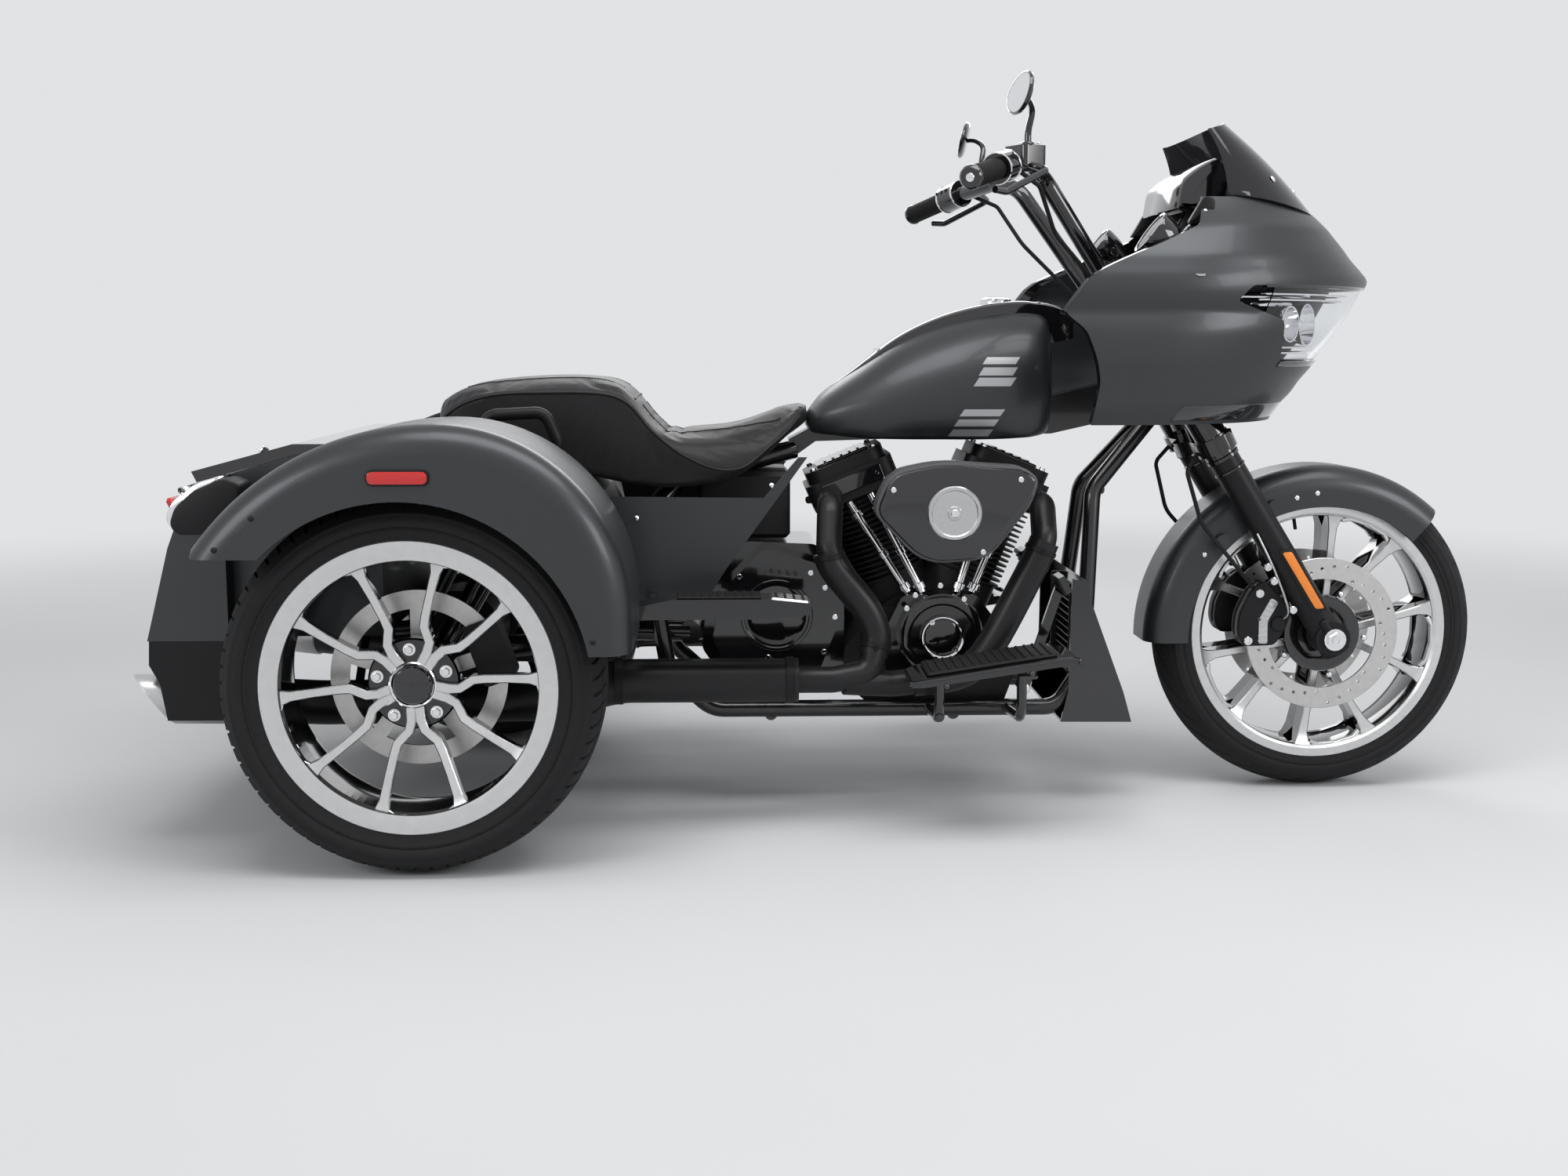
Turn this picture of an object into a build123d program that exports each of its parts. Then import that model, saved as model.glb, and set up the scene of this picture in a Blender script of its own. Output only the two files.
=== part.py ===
from build123d import *
import math
import os

# Motorized trike: one steered front wheel, two driven rear wheels under wide fenders.
# Millimetres. X forward, Y to the rider's left, Z up, floor at z = 0.

# Walls and clearances
skin = 4.0
wall = 4.0
fit_gap = 0.3
swing_gap = 6.0

# Running gear
wheelbase = 1690.0
front_axle_x = 934.0
rear_axle_x = front_axle_x - wheelbase
rear_track = 1040.0
rear_wheel_y = rear_track / 2
front_tyre_r = 316.0
front_tyre_width = 130.0
front_sidewall = 73.0
front_rim_r = front_tyre_r - front_sidewall
rear_tyre_r = 320.0
rear_tyre_width = 215.0
rear_sidewall = 84.0
rear_rim_r = rear_tyre_r - rear_sidewall
flange_height = 10.0
flange_thickness = 6.0
rim_wall = 8.0
front_centre = (front_axle_x, 0.0, front_tyre_r)
rear_centre_z = rear_tyre_r

# Front wheel
front_rim_half = 58.0
front_hub_r = 44.0
front_hub_half = 68.0
front_spoke_roots = [66.0, -6.0, -78.0, -150.0, 138.0]
front_spoke_root_spread = 9.0
front_spoke_rim_spread = 17.0
front_spoke_width = 15.0
front_spoke_depth = 26.0
front_axle_r = 12.5

# Rear wheels, from the wheel's own middle plane outwards
rear_rim_half = 92.0
rear_hub_face = 55.0
rear_hub_r = 76.0
rear_hub_inner = -8.0
rear_face_ring = 20.0
rear_spoke_roots = [58.0, 130.0, 202.0, 274.0, 346.0]
rear_bend_r = 98.0
rear_bend_spread = 20.0
rear_rim_spread = 18.0
rear_spoke_width = 14.0
rear_spoke_depth = 28.0
rear_spindle_r = 20.0

# Brakes
disc_r = 150.0
disc_band = 32.0
disc_thickness = 5.0
disc_offset = 7.0
disc_y = front_hub_half + fit_gap
rear_disc_y = rear_wheel_y + rear_hub_inner
caliper_angle = 163.0
caliper_r = 128.0
rear_caliper_angle = 20.0
hose_r = 4.0

# Steering
rake = math.radians(26.0)
trail_x = 1034.0
fork_angle = math.radians(32.0)
fork_half_spacing = 117.0
slider_r = 29.0
slider_boss = 30.0
lower_tree_z = 690.0
upper_tree_z = 874.0
tree_thickness = 30.0
neck_r = 36.0
stem_r = 14.0
axis_dir = (-math.sin(rake), 0.0, math.cos(rake))
leg_dir = (-math.sin(fork_angle), 0.0, math.cos(fork_angle))

# Handlebar
bar_r = 16.0
grip_r = 19.0
grip_length = 122.0
clamp_x = 540.0
clamp_z = 922.0
bar_points = [
    (clamp_x, -30.0, clamp_z),
    (clamp_x - 6, -88.0, clamp_z + 4),
    (356.0, -138.0, 1186.0),
    (318.0, -200.0, 1204.0),
    (250.0, -330.0, 1186.0),
    (180.0, -459.0, 1158.0),
]
bar_bends = [34.0, 46.0, 46.0, 200.0]

# Front fender, a strip round the tyre
fender_centre = (front_axle_x - 3, 0.0, front_tyre_r - 13)
fender_r = front_tyre_r + 26
fender_half_width = 84.0
fender_skirt_r = front_rim_r + 19
fender_front_angle = 48.0
fender_rear_angle = 181.0
fender_sheet = 3.0

# Frame
rail_y = 150.0
rail_r = 16.0
rail_z = 188.0
backbone_half = 32.0
cradle_points = [
    (600.0, 24.0, 742.0),
    (478.0, 62.0, 600.0),
    (452.0, rail_y - 20, 260.0),
    (400.0, rail_y, rail_z),
    (-262.0, rail_y, rail_z),
    (-345.0, rail_y, 262.0),
    (-392.0, rail_y - 12, 540.0),
    (-326.0, 90.0, 620.0),
    (-100.0, 30.0, 675.0),
]
cradle_bends = [60, 60, 50, 60, 60, 50, 50]
engine_floor = rail_z + 1.0
cross_r = 12.0
subframe_r = 13.0
subframe_y = 212.0
shock_bar_x = -650.0
shock_bar_z = 500.0
shock_y = 272.0

# Engine
crank_x = 155.0
crank_z = 265.0
cylinder_tilt = 22.5
bore_r = 68.0
fin_r = 86.0
fin_thickness = 3.0
fin_pitch = 10.5
fin_count = 16
fins_start = 183.0
head_top = 404.0
cover_top = 428.0
pushrod_r = 8.0
cam_x = 173.0
cam_z = 331.0

# Exhaust
header_r = 24.0
muffler_r = 40.0
muffler_y = 300.0

# Level sections of the fairing: height, back edge, end of the flat side, nose, half width, nose radius
fairing_sections = [
    (735.0, 424.0, 470.0, 832.0, 312.0, 100.0),
    (800.0, 430.0, 500.0, 884.0, 336.0, 100.0),
    (880.0, 414.0, 530.0, 952.0, 345.0, 90.0),
    (999.0, 404.0, 560.0, 1016.0, 340.0, 70.0),
]
fairing_top_sections = [
    (999.0, 404.0, 560.0, 1016.0, 340.0, 70.0),
    (1060.0, 540.0, 600.0, 966.0, 292.0, 70.0),
    (1120.0, 612.0, 650.0, 905.0, 238.0, 70.0),
    (1146.0, 630.0, 645.0, 868.0, 216.0, 60.0),
]
# Level sections of the windshield: height, side edge, half width, middle
windshield_sections = [
    (1126.0, 744.0, 206.0, 906.0),
    (1294.0, 650.0, 168.0, 714.0),
]
# The headlamp opening, seen from the side
lamp_outline = [(676, 956), (706, 984), (1040, 984), (1040, 846), (776, 846), (776, 922)]
dash_low = (596.0, 1002.0)
dash_high = (668.0, 1141.0)
dash_thickness = 16.0

# Tank sections: place along the vehicle, bottom, height of the widest line, top, bottom and full half width
tank_sections = [
    (-72.0, 712.0, 724.0, 742.0, 60.0, 78.0),
    (20.0, 702.0, 752.0, 822.0, 104.0, 128.0),
    (150.0, 700.0, 776.0, 902.0, 128.0, 156.0),
    (290.0, 700.0, 790.0, 934.0, 126.0, 158.0),
    (380.0, 712.0, 800.0, 930.0, 92.0, 124.0),
]

# Rear body
deck_z = 654.0
fender_outer_y = 690.0
fender_inner_y = 385.0
fender_top = (-699.0, 756.0)
fender_front_r = 311.0
fender_front_low = (-391.0, 386.0)
fender_rear_end = (-1085.0, 560.0)
fender_arch_centre = (rear_axle_x, rear_tyre_r + 9)
fender_arch_r = rear_tyre_r - 14
trunk_half_width = 385.0
trunk_rear_half_width = 432.0
trunk_front_x = -836.0
trunk_floor_z = 372.0
trunk_rim_z = 690.0
rim_flange = 12.0
lid_thickness = 18.0
lid_front_x = -842.0
hinge_x = -828.0
hinge_z = 700.0
hinge_pin_r = 3.0
hinge_barrel_r = 6.0
hinge_y = (204.0, 236.0)
plate_holes = (180.0, 80.0)
plate_hole_r = 3.0
deck_outline = [
    (trunk_front_x + fit_gap, deck_z - skin),
    (trunk_front_x + fit_gap, deck_z),
    (-528, deck_z),
    (-466, 602),
    (-436, 540),
    (-421, 460),
    (-425, 460),
    (-440, 539),
    (-469.5, 599.5),
    (-530, deck_z - skin),
]

seat_half_width = 165.0
# Seat outline from the rear top forward, with the bend at each corner
seat_outline = [
    (-784, 700),
    (-772, 778),
    (-690, 808),
    (-432, 814),
    (-372, 726),
    (-318, 704),
    (-196, 712),
    (-84, 768),
    (-98, 728),
    (-236, 630),
    (-346, 614),
    (-522, deck_z + fit_gap),
    (-760, deck_z + fit_gap),
]
seat_bends = [12, 24, 60, 30, 20, 40, 60, 8, 8, 40, 60, 20, 12]
seat_tunnel = [(-516, 500), (-516, 647), (-334, 647), (-124, 706), (0, 745), (0, 500)]

side_cover_y = 206.0
side_cover_wall = 6.0
chin_outline = [(421, 438), (455, 434), (452, 411), (524, 220), (541, 161), (404, 162), (418, 221)]

# Boards
board_y = (304.0, 446.0)
board_bar_x = -372.0
board_bar_z = 412.0
board_bar_r = 10.0

# Rear axle and drive
axle_tube_r = 30.0
axle_tube_half = 460.0
pulley_r = 90.0
pulley_y = (168.0, 194.0)
belt_thickness = 4.0
front_pulley = (-190.0, 326.0, 50.0)


def plate(points, y_low, y_high, radii=None):
    """A flat outline of (x, z) points, carried across the vehicle from y_low to y_high."""
    if radii is None:
        outline = Polyline(*points, close=True)
    else:
        outline = FilletPolyline(*points, radius=radii, close=True)
    face = make_face(outline)
    return extrude(Plane.XZ.offset(-y_high) * face, amount=y_high - y_low)


def block(x_low, x_high, y_low, y_high, z_low, z_high):
    """A box between two corners."""
    size = (x_high - x_low, y_high - y_low, z_high - z_low)
    return Pos(x_low, y_low, z_low) * Box(*size, align=(Align.MIN, Align.MIN, Align.MIN))


def rod(start, end, radius):
    """A round bar from one point to another."""
    run = Vector(*end) - Vector(*start)
    return Plane(origin=start, z_dir=run) * Cylinder(
        radius, run.length, align=(Align.CENTER, Align.CENTER, Align.MIN)
    )


def tube(points, radius, bend):
    """A round tube through straight runs joined by tangent arcs."""
    path = FilletPolyline(*points, radius=bend)
    section = Plane(origin=path @ 0, z_dir=path % 0) * Circle(radius)
    return sweep(section, path=path)


def across(x, z, radius, y_low, y_high):
    """A round bar that runs across the vehicle."""
    return rod((x, y_low, z), (x, y_high, z), radius)


def mirrored(shape):
    """The same piece on the other side of the middle plane."""
    return mirror(shape, Plane.XZ)


def pair(shape):
    """A piece and its mirror image, in one list."""
    return [shape, mirrored(shape)]


def join(*shapes):
    """Several overlapping pieces welded into one."""
    whole = shapes[0]
    for shape in shapes[1:]:
        whole = whole + shape
    return whole


def turned(profile_points, centre, radii=None):
    """A ring from an (r, y) outline turned about a cross axis through a centre."""
    if radii is None:
        outline = Polyline(*profile_points, close=True)
    else:
        outline = FilletPolyline(*profile_points, radius=radii, close=True)
    return Pos(*centre) * revolve(make_face(outline), Axis.Y)


def polar(centre_x, centre_z, radius, degrees):
    """The (x, z) point at a radius and an angle above the forward direction."""
    angle = math.radians(degrees)
    return centre_x + radius * math.cos(angle), centre_z + radius * math.sin(angle)


def largest(shape):
    """The biggest solid that a cut leaves."""
    return max(shape.solids(), key=lambda solid: solid.volume)


def axis_x(z):
    """Where the steering axis crosses a height."""
    return trail_x - math.tan(rake) * z


def leg_x(z):
    """Where the fork legs cross a height."""
    return front_axle_x - math.tan(fork_angle) * (z - front_tyre_r)


def export_node(name, shapes):
    """Write one node, with every separate solid that it holds."""
    solids = []
    for shape in shapes if isinstance(shapes, list) else [shapes]:
        solids.extend(shape.solids())
    node = solids[0] if len(solids) == 1 else Compound(children=solids)
    node.label = name
    export_step(node, os.path.join("parts", name + ".step"))


# Wheels
def tyre(radius, width, rim_r, rim_half, crown_drop, centre):
    """A tyre ring seated between the rim flanges."""
    bead = rim_half - flange_thickness - fit_gap
    seat_r = rim_r + fit_gap
    flange_r = rim_r + flange_height + fit_gap
    half = width / 2
    shoulder_r = radius - crown_drop
    middle_r = (flange_r + shoulder_r) / 2
    lines = [
        Line((seat_r, -bead), (flange_r, -bead)),
        Line((flange_r, -bead), (flange_r + 4, -rim_half)),
        ThreePointArc((flange_r + 4, -rim_half), (middle_r, -half), (shoulder_r, -half + crown_drop / 2)),
        ThreePointArc(
            (shoulder_r, -half + crown_drop / 2), (radius, 0), (shoulder_r, half - crown_drop / 2)
        ),
        ThreePointArc((shoulder_r, half - crown_drop / 2), (middle_r, half), (flange_r + 4, rim_half)),
        Line((flange_r + 4, rim_half), (flange_r, bead)),
        Line((flange_r, bead), (seat_r, bead)),
        Line((seat_r, bead), (seat_r, -bead)),
    ]
    return Pos(*centre) * revolve(make_face(lines), Axis.Y)


def rim_ring(rim_r, rim_half, face_depth, centre):
    """The rim's barrel with its two flanges and a bright face band."""
    edge_r = rim_r + flange_height
    inner = rim_r - rim_wall
    profile = [
        (edge_r, -rim_half),
        (edge_r, -rim_half + flange_thickness),
        (rim_r, -rim_half + flange_thickness),
        (rim_r, rim_half - flange_thickness),
        (edge_r, rim_half - flange_thickness),
        (edge_r, rim_half),
        (inner - face_depth, rim_half),
        (inner - face_depth, rim_half - flange_thickness),
        (inner, rim_half - flange_thickness - 10),
        (inner, -rim_half + flange_thickness + 10),
        (inner - face_depth, -rim_half + flange_thickness),
        (inner - face_depth, -rim_half),
    ]
    return turned(profile, centre)


def spoke_bar(centre, start, end, width, y_low, y_high):
    """A straight flat bar between two (radius, degrees) points of a wheel."""
    x0, z0 = polar(0, 0, *start)
    x1, z1 = polar(0, 0, *end)
    length = math.hypot(x1 - x0, z1 - z0)
    nx = -(z1 - z0) / length * width / 2
    nz = (x1 - x0) / length * width / 2
    corners = [(x0 + nx, z0 + nz), (x1 + nx, z1 + nz), (x1 - nx, z1 - nz), (x0 - nx, z0 - nz)]
    return Pos(*centre) * plate(corners, y_low, y_high)


def sloped_arm(centre, degrees, r_in, r_out, y_in, y_out, depth, width):
    """A radial arm whose face slopes from the hub out to the rim."""
    outline = [(r_in, y_in - depth), (r_in, y_in), (r_out, y_out), (r_out, y_out - depth)]
    face = make_face(Polyline(*outline, close=True))
    arm = extrude(face, amount=width / 2, both=True)
    return Pos(*centre) * Rot(0, -degrees, 0) * arm


def make_front_rim():
    ring = rim_ring(front_rim_r, front_rim_half, 14.0, front_centre)
    hub = across(front_axle_x, front_tyre_r, front_hub_r, -front_hub_half, front_hub_half)
    rim = ring + hub
    for root in front_spoke_roots:
        for side in (-1, 1):
            rim += spoke_bar(
                front_centre,
                (front_hub_r - 8, root + side * front_spoke_root_spread),
                (front_rim_r - rim_wall + 2, root + side * front_spoke_rim_spread),
                front_spoke_width,
                -front_spoke_depth / 2,
                front_spoke_depth / 2,
            )
    bore = across(front_axle_x, front_tyre_r, front_axle_r + fit_gap, -200, 200)
    return rim - bore


def make_front_tyre():
    return tyre(front_tyre_r, front_tyre_width, front_rim_r, front_rim_half, 30.0, front_centre)


def brake_disc(centre, y_hub, outward, carrier_r, bore_r, tabs):
    """A disc whose spider lies in its own plane, on a boss that sits on the hub's end face."""
    y_mid = y_hub + outward * disc_offset
    y_far = y_mid + outward * disc_thickness
    low, high = sorted((y_mid, y_far))
    x, z = centre
    disc = across(x, z, disc_r, low, high) - across(x, z, disc_r - disc_band, low - 1, high + 1)
    for index in range(tabs):
        degrees = 18 + index * 360 / tabs
        disc += spoke_bar(
            (x, 0, z), (carrier_r - 8, degrees), (disc_r - disc_band + 8, degrees), 26.0, low, high
        )
    low, high = sorted((y_hub, y_far))
    disc += across(x, z, carrier_r, low, high)
    return disc - across(x, z, bore_r, low - 30, high + 30)


def make_front_discs():
    side = brake_disc(
        (front_axle_x, front_tyre_r), -disc_y, -1, front_hub_r + 10, front_axle_r + 8, 5
    )
    return pair(side)


def make_rear_rim():
    """The left rear rim; the right one is its mirror image."""
    centre = (rear_axle_x, rear_wheel_y, rear_centre_z)
    rim = rim_ring(rear_rim_r, rear_rim_half, rear_face_ring - rim_wall, centre)
    rim += Pos(*centre) * across(0, 0, 40.0, rear_hub_inner, rear_hub_face)
    rim += Pos(*centre) * across(0, 0, rear_hub_r, 14.0, 40.0)
    back = rear_hub_face - rear_spoke_depth
    for root in rear_spoke_roots:
        rim += spoke_bar(centre, (30, root), (rear_hub_r + 6, root), 26.0, back, rear_hub_face)
        for side in (-1, 1):
            bend = (rear_bend_r, root + side * rear_bend_spread)
            rim += spoke_bar(centre, (rear_hub_r - 6, root + side * 6), bend, 16.0, back, rear_hub_face)
            rim += sloped_arm(
                centre,
                root + side * (rear_bend_spread + rear_rim_spread) / 2,
                rear_bend_r - 5,
                rear_rim_r - rim_wall + 2,
                rear_hub_face,
                rear_rim_half - 3,
                rear_spoke_depth,
                rear_spoke_width,
            )
    bore = Pos(*centre) * across(0, 0, rear_spindle_r + fit_gap, rear_hub_inner - 1, 30)
    return rim - bore


def make_rear_tyre():
    centre = (rear_axle_x, rear_wheel_y, rear_centre_z)
    return tyre(rear_tyre_r, rear_tyre_width, rear_rim_r, rear_rim_half, 20.0, centre)


def make_rear_disc():
    return brake_disc(
        (rear_axle_x, rear_centre_z), rear_disc_y, -1, 60.0, rear_spindle_r + 8, 5
    )


# Steering body
def make_fork_sliders():
    """Both fork legs below the lower tree, with a cross hole for the axle."""
    top_z = lower_tree_z - 20
    low = Vector(front_axle_x, fork_half_spacing, front_tyre_r) - Vector(*leg_dir) * 34
    high = Vector(leg_x(top_z), fork_half_spacing, top_z)
    leg = rod(tuple(low), tuple(high), slider_r)
    inner_side, outer_side = fork_half_spacing - slider_boss, fork_half_spacing + slider_boss
    leg += across(front_axle_x, front_tyre_r, slider_r + 4, inner_side, outer_side)
    leg -= across(front_axle_x, front_tyre_r, front_axle_r + fit_gap, 60, 180)
    return pair(leg)


def make_front_axle():
    shaft = across(front_axle_x, front_tyre_r, front_axle_r, -156, 156)
    spacer_low = disc_y + disc_offset + disc_thickness + fit_gap
    spacer_high = fork_half_spacing - slider_boss - fit_gap
    spacer = across(front_axle_x, front_tyre_r, front_axle_r + 7, spacer_low, spacer_high)
    nut_low = fork_half_spacing + slider_boss + fit_gap
    nut = across(front_axle_x, front_tyre_r, 20, nut_low, nut_low + 10)
    return join(shaft, spacer, mirrored(spacer), nut, mirrored(nut))


def tree(z, reach):
    """A fork bridge round the steering axis and both legs, square to the axis."""
    middle = Plane(origin=(axis_x(z), 0, z), z_dir=axis_dir)
    half = tree_thickness / 2
    body = extrude(middle.offset(-half) * Circle(neck_r + 10), amount=tree_thickness)
    lx = leg_x(z)
    for side in (-1, 1):
        centre = Plane(origin=(lx, side * fork_half_spacing, z), z_dir=axis_dir)
        body += extrude(centre.offset(-half) * Circle(38), amount=tree_thickness)
    bridge = middle.offset(-half) * Rectangle(reach, fork_half_spacing * 2)
    return body + extrude(bridge, amount=tree_thickness)


def make_fork_trees():
    """Two bridges joined by the steering stem and the covered upper fork tubes."""
    trees = tree(lower_tree_z, 62) + tree(upper_tree_z, 50)
    stem_low = (axis_x(lower_tree_z), 0, lower_tree_z)
    stem_high = (axis_x(upper_tree_z + 10), 0, upper_tree_z + 10)
    trees += rod(stem_low, stem_high, stem_r)
    for side in (-1, 1):
        y = side * fork_half_spacing
        low_z = lower_tree_z - 20 + fit_gap
        high_z = upper_tree_z + 22
        trees += rod((leg_x(low_z), y, low_z), (leg_x(high_z), y, high_z), slider_r + 2)
    return trees


def make_front_fender():
    """A crowned strip with side skirts, carried by bosses on the fork legs."""
    outer = FilletPolyline(
        (fender_skirt_r, -fender_half_width),
        (fender_r, -fender_half_width),
        (fender_r, fender_half_width),
        (fender_skirt_r, fender_half_width),
        radius=48,
    )
    inner_half = fender_half_width - fender_sheet
    inner_r = fender_r - fender_sheet
    inner = FilletPolyline(
        (fender_skirt_r, -inner_half),
        (inner_r, -inner_half),
        (inner_r, inner_half),
        (fender_skirt_r, inner_half),
        radius=45,
    )
    low_edge = Line((fender_skirt_r, -fender_half_width), (fender_skirt_r, -inner_half))
    high_edge = Line((fender_skirt_r, fender_half_width), (fender_skirt_r, inner_half))
    section = make_face([outer, inner, low_edge, high_edge])
    sweep_angle = fender_rear_angle - fender_front_angle
    shell = Rot(0, -fender_front_angle, 0) * revolve(section, Axis.Y, revolution_arc=-sweep_angle)
    shell = Pos(*fender_centre) * shell
    for degrees in (112.0, 136.0):
        x, z = polar(fender_centre[0], fender_centre[2], fender_skirt_r + 22, degrees)
        boss = across(x, z, 14, fender_half_width - 1, fork_half_spacing - 12)
        boss = boss - rod(
            (leg_x(200), fork_half_spacing, 200), (leg_x(760), fork_half_spacing, 760), slider_r + fit_gap
        )
        shell += largest(boss)
        shell += largest(mirrored(boss))
    return shell


def caliper(axle, degrees, y_disc, y_low, y_high, tangent, radial):
    """A brake caliper that straddles a disc."""
    x, z = axle
    body = Box(radial, y_high - y_low, tangent)
    body = fillet(body.edges().filter_by(Axis.Y), 12)
    body = Pos(x, (y_low + y_high) / 2, z) * Rot(0, -degrees, 0) * Pos(caliper_r, 0, 0) * body
    slot = across(x, z, disc_r + 4, y_disc - 6, y_disc + 6)
    return body - slot


def make_front_calipers():
    y_disc = -(disc_y + disc_offset + disc_thickness / 2)
    body = caliper((front_axle_x, front_tyre_r), caliper_angle, y_disc, -112, -62, 116, 66)
    leg = rod(
        (leg_x(200), -fork_half_spacing, 200), (leg_x(760), -fork_half_spacing, 760), slider_r + fit_gap
    )
    lug_x, lug_z = polar(front_axle_x, front_tyre_r, 120, 142)
    lug = across(lug_x, lug_z, 15, -118, -92) - leg
    body = largest(body + largest(lug) - leg)
    return pair(body)


def make_handlebar():
    half = tube(bar_points, bar_r, bar_bends)
    centre = across(clamp_x, clamp_z, bar_r, -31, 31)
    bar = join(half, mirrored(half), centre)
    riser_top = (clamp_x, 0, clamp_z)
    riser_low = (axis_x(upper_tree_z + 20), 0, upper_tree_z + 20)
    riser = rod(riser_low, riser_top, 20)
    riser = largest(riser - upper_tree_solid)
    clamp = across(clamp_x, clamp_z, bar_r + 9, -46, 46)
    return join(bar, riser, clamp)


def bar_run():
    """Unit direction and length of the grip's stretch of the bar."""
    run = Vector(*bar_points[5]) - Vector(*bar_points[4])
    return run.normalized(), run.length


def make_grips():
    direction, length = bar_run()
    end = Vector(*bar_points[5]) + direction * 3
    start = end - direction * grip_length
    body = rod(tuple(start), tuple(end), grip_r)
    bar_end = Vector(*bar_points[5])
    hole = rod(tuple(start - direction * 5), tuple(bar_end + direction * fit_gap), bar_r + fit_gap)
    return pair(body - hole)


def make_bar_controls():
    """Switch housings with a lever and its reservoir, inboard of each grip."""
    direction, length = bar_run()
    end = Vector(*bar_points[5])
    housing_out = end - direction * (grip_length - 1)
    housing_in = end - direction * 178
    housing = rod(tuple(housing_in), tuple(housing_out), 27)
    hole = rod(tuple(housing_in - direction * 5), tuple(housing_out + direction * 5), bar_r + fit_gap)
    reservoir = Pos(*(housing_in + Vector(34, 20, 18))) * Rot(0, 0, 28) * Box(52, 62, 34)
    reservoir = fillet(reservoir.edges().filter_by(Axis.Z), 10)
    pivot = housing_in + Vector(40, -8, 0)
    lever = tube(
        [
            tuple(pivot),
            tuple(pivot + Vector(22, -40, -12)),
            tuple(end + Vector(62, 30, -22)),
            tuple(end + Vector(40, 8, -20)),
        ],
        6,
        [16, 20],
    )
    control = join(housing, reservoir, lever) - hole - handlebar_solid
    return pair(largest(control))


def make_mirrors():
    """Mirrors on stems that stand on the reservoirs."""
    direction, length = bar_run()
    end = Vector(*bar_points[5])
    foot = end - direction * 178 + Vector(38, 16, 35 + fit_gap)
    stem = tube(
        [
            tuple(foot),
            tuple(foot + Vector(0, 0, 30)),
            tuple(foot + Vector(4, -14, 68)),
            tuple(foot + Vector(-24, -62, 76)),
        ],
        5,
        [24, 18],
    )
    glass = Plane(origin=(0, 0, 0), x_dir=(0, 1, 0), z_dir=(1, 0, 0)) * Ellipse(57, 38)
    head = Pos(*(foot + Vector(-26, -74, 80))) * Rot(0, 14, 10) * extrude(glass, amount=6, both=True)
    return pair(stem + head)


def make_fork_reflectors():
    """Amber strips on the outer faces of the fork legs."""
    y_low = fork_half_spacing + slider_r + 1
    strip = plate([(824, 485), (846, 488), (916, 375), (894, 373)], y_low, y_low + 6)
    foot_low = fork_half_spacing + slider_r - 6
    for z in (400.0, 460.0):
        x = leg_x(z) + 2
        strip += across(x, z, 7, foot_low, y_low + 1)
    leg = rod((leg_x(200), fork_half_spacing, 200), (leg_x(760), fork_half_spacing, 760), slider_r + fit_gap)
    return pair(largest(strip - leg))


def make_brake_hoses():
    """Hoses from the lower tree down behind the fork legs to the calipers."""
    tree_x = leg_x(lower_tree_z) - 30
    hose = tube(
        [
            (tree_x + 6, -fork_half_spacing + 8, lower_tree_z - 8),
            (tree_x - 26, -fork_half_spacing - 8, 640.0),
            (tree_x + 2, -fork_half_spacing - 22, 540.0),
            (750.0, -fork_half_spacing - 4, 452.0),
            (800.0, -96.0, 398.0),
        ],
        hose_r,
        [24, 60, 40],
    )
    return pair(largest(hose - trees_solid - calipers_solid))


def make_control_cables():
    """Cables from the bar controls down the risers to the upper tree."""
    direction, length = bar_run()
    inboard = Vector(*bar_points[5]) - direction * 176
    cable = tube(
        [
            tuple(inboard + Vector(20, 14, -6)),
            (330.0, -252.0, 1160.0),
            (372.0, -182.0, 1080.0),
            (472.0, -146.0, 976.0),
            (548.0, -100.0, upper_tree_z + 14),
        ],
        hose_r,
        [30, 60, 60],
    )
    return pair(largest(cable - trees_solid - controls_solid - handlebar_solid))


# Frame
def make_frame_backbone():
    """Steering neck, backbone under the tank and the seat rails behind it."""
    neck_low_z = lower_tree_z + 34
    neck_high_z = upper_tree_z - 34
    neck = rod((axis_x(neck_low_z), 0, neck_low_z), (axis_x(neck_high_z), 0, neck_high_z), neck_r)
    spine = plate(
        [(-112, 655), (-60, 692), (400, 706), (640, 760), (620, 830), (380, 775), (-40, 735), (-112, 696)],
        -backbone_half,
        backbone_half,
    )
    backbone = spine + neck
    bore = rod((axis_x(600), 0, 600), (axis_x(960), 0, 960), stem_r + fit_gap)
    return backbone - bore


def make_frame_cradle():
    """Down tubes, floor rails and rear uprights, with their cross members."""
    side = tube(cradle_points, rail_r, cradle_bends)
    cradle = side + mirrored(side)
    for x in (200.0, -150.0):
        cradle += across(x, engine_floor - fit_gap - cross_r, cross_r, -rail_y, rail_y)
    upright = cradle_points[6]
    cradle += across(upright[0], upright[2], cross_r, -upright[1], upright[1])
    return largest(cradle - backbone_solid)


def make_rear_subframe():
    """Two rails from the uprights back under the trunk, joined by the shock absorbers' bar."""
    low_z = trunk_floor_z - subframe_r - fit_gap
    side = tube(
        [
            (-380.0, rail_y - 12, 470.0),
            (-600.0, subframe_y, shock_bar_z),
            (-725.0, subframe_y, shock_bar_z),
            (-800.0, subframe_y, low_z),
            (-1060.0, subframe_y, low_z),
        ],
        subframe_r,
        [120, 60, 60],
    )
    rails = side + mirrored(side)
    rails += across(shock_bar_x, shock_bar_z, subframe_r, -290, 290)
    return largest(rails - cradle_solid)


def make_body_deck():
    """The panel under the seat that closes the space between the rear fenders."""
    half = trunk_half_width - fit_gap
    deck = plate(deck_outline, -half, half)
    return largest(deck - subframe_solid)


# Engine
def cylinder_frame(sign):
    """The plane across one cylinder's bore at the crank centre."""
    angle = math.radians(cylinder_tilt) * sign
    return Plane(origin=(crank_x, 0, crank_z), z_dir=(math.sin(angle), 0, math.cos(angle)))


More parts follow.
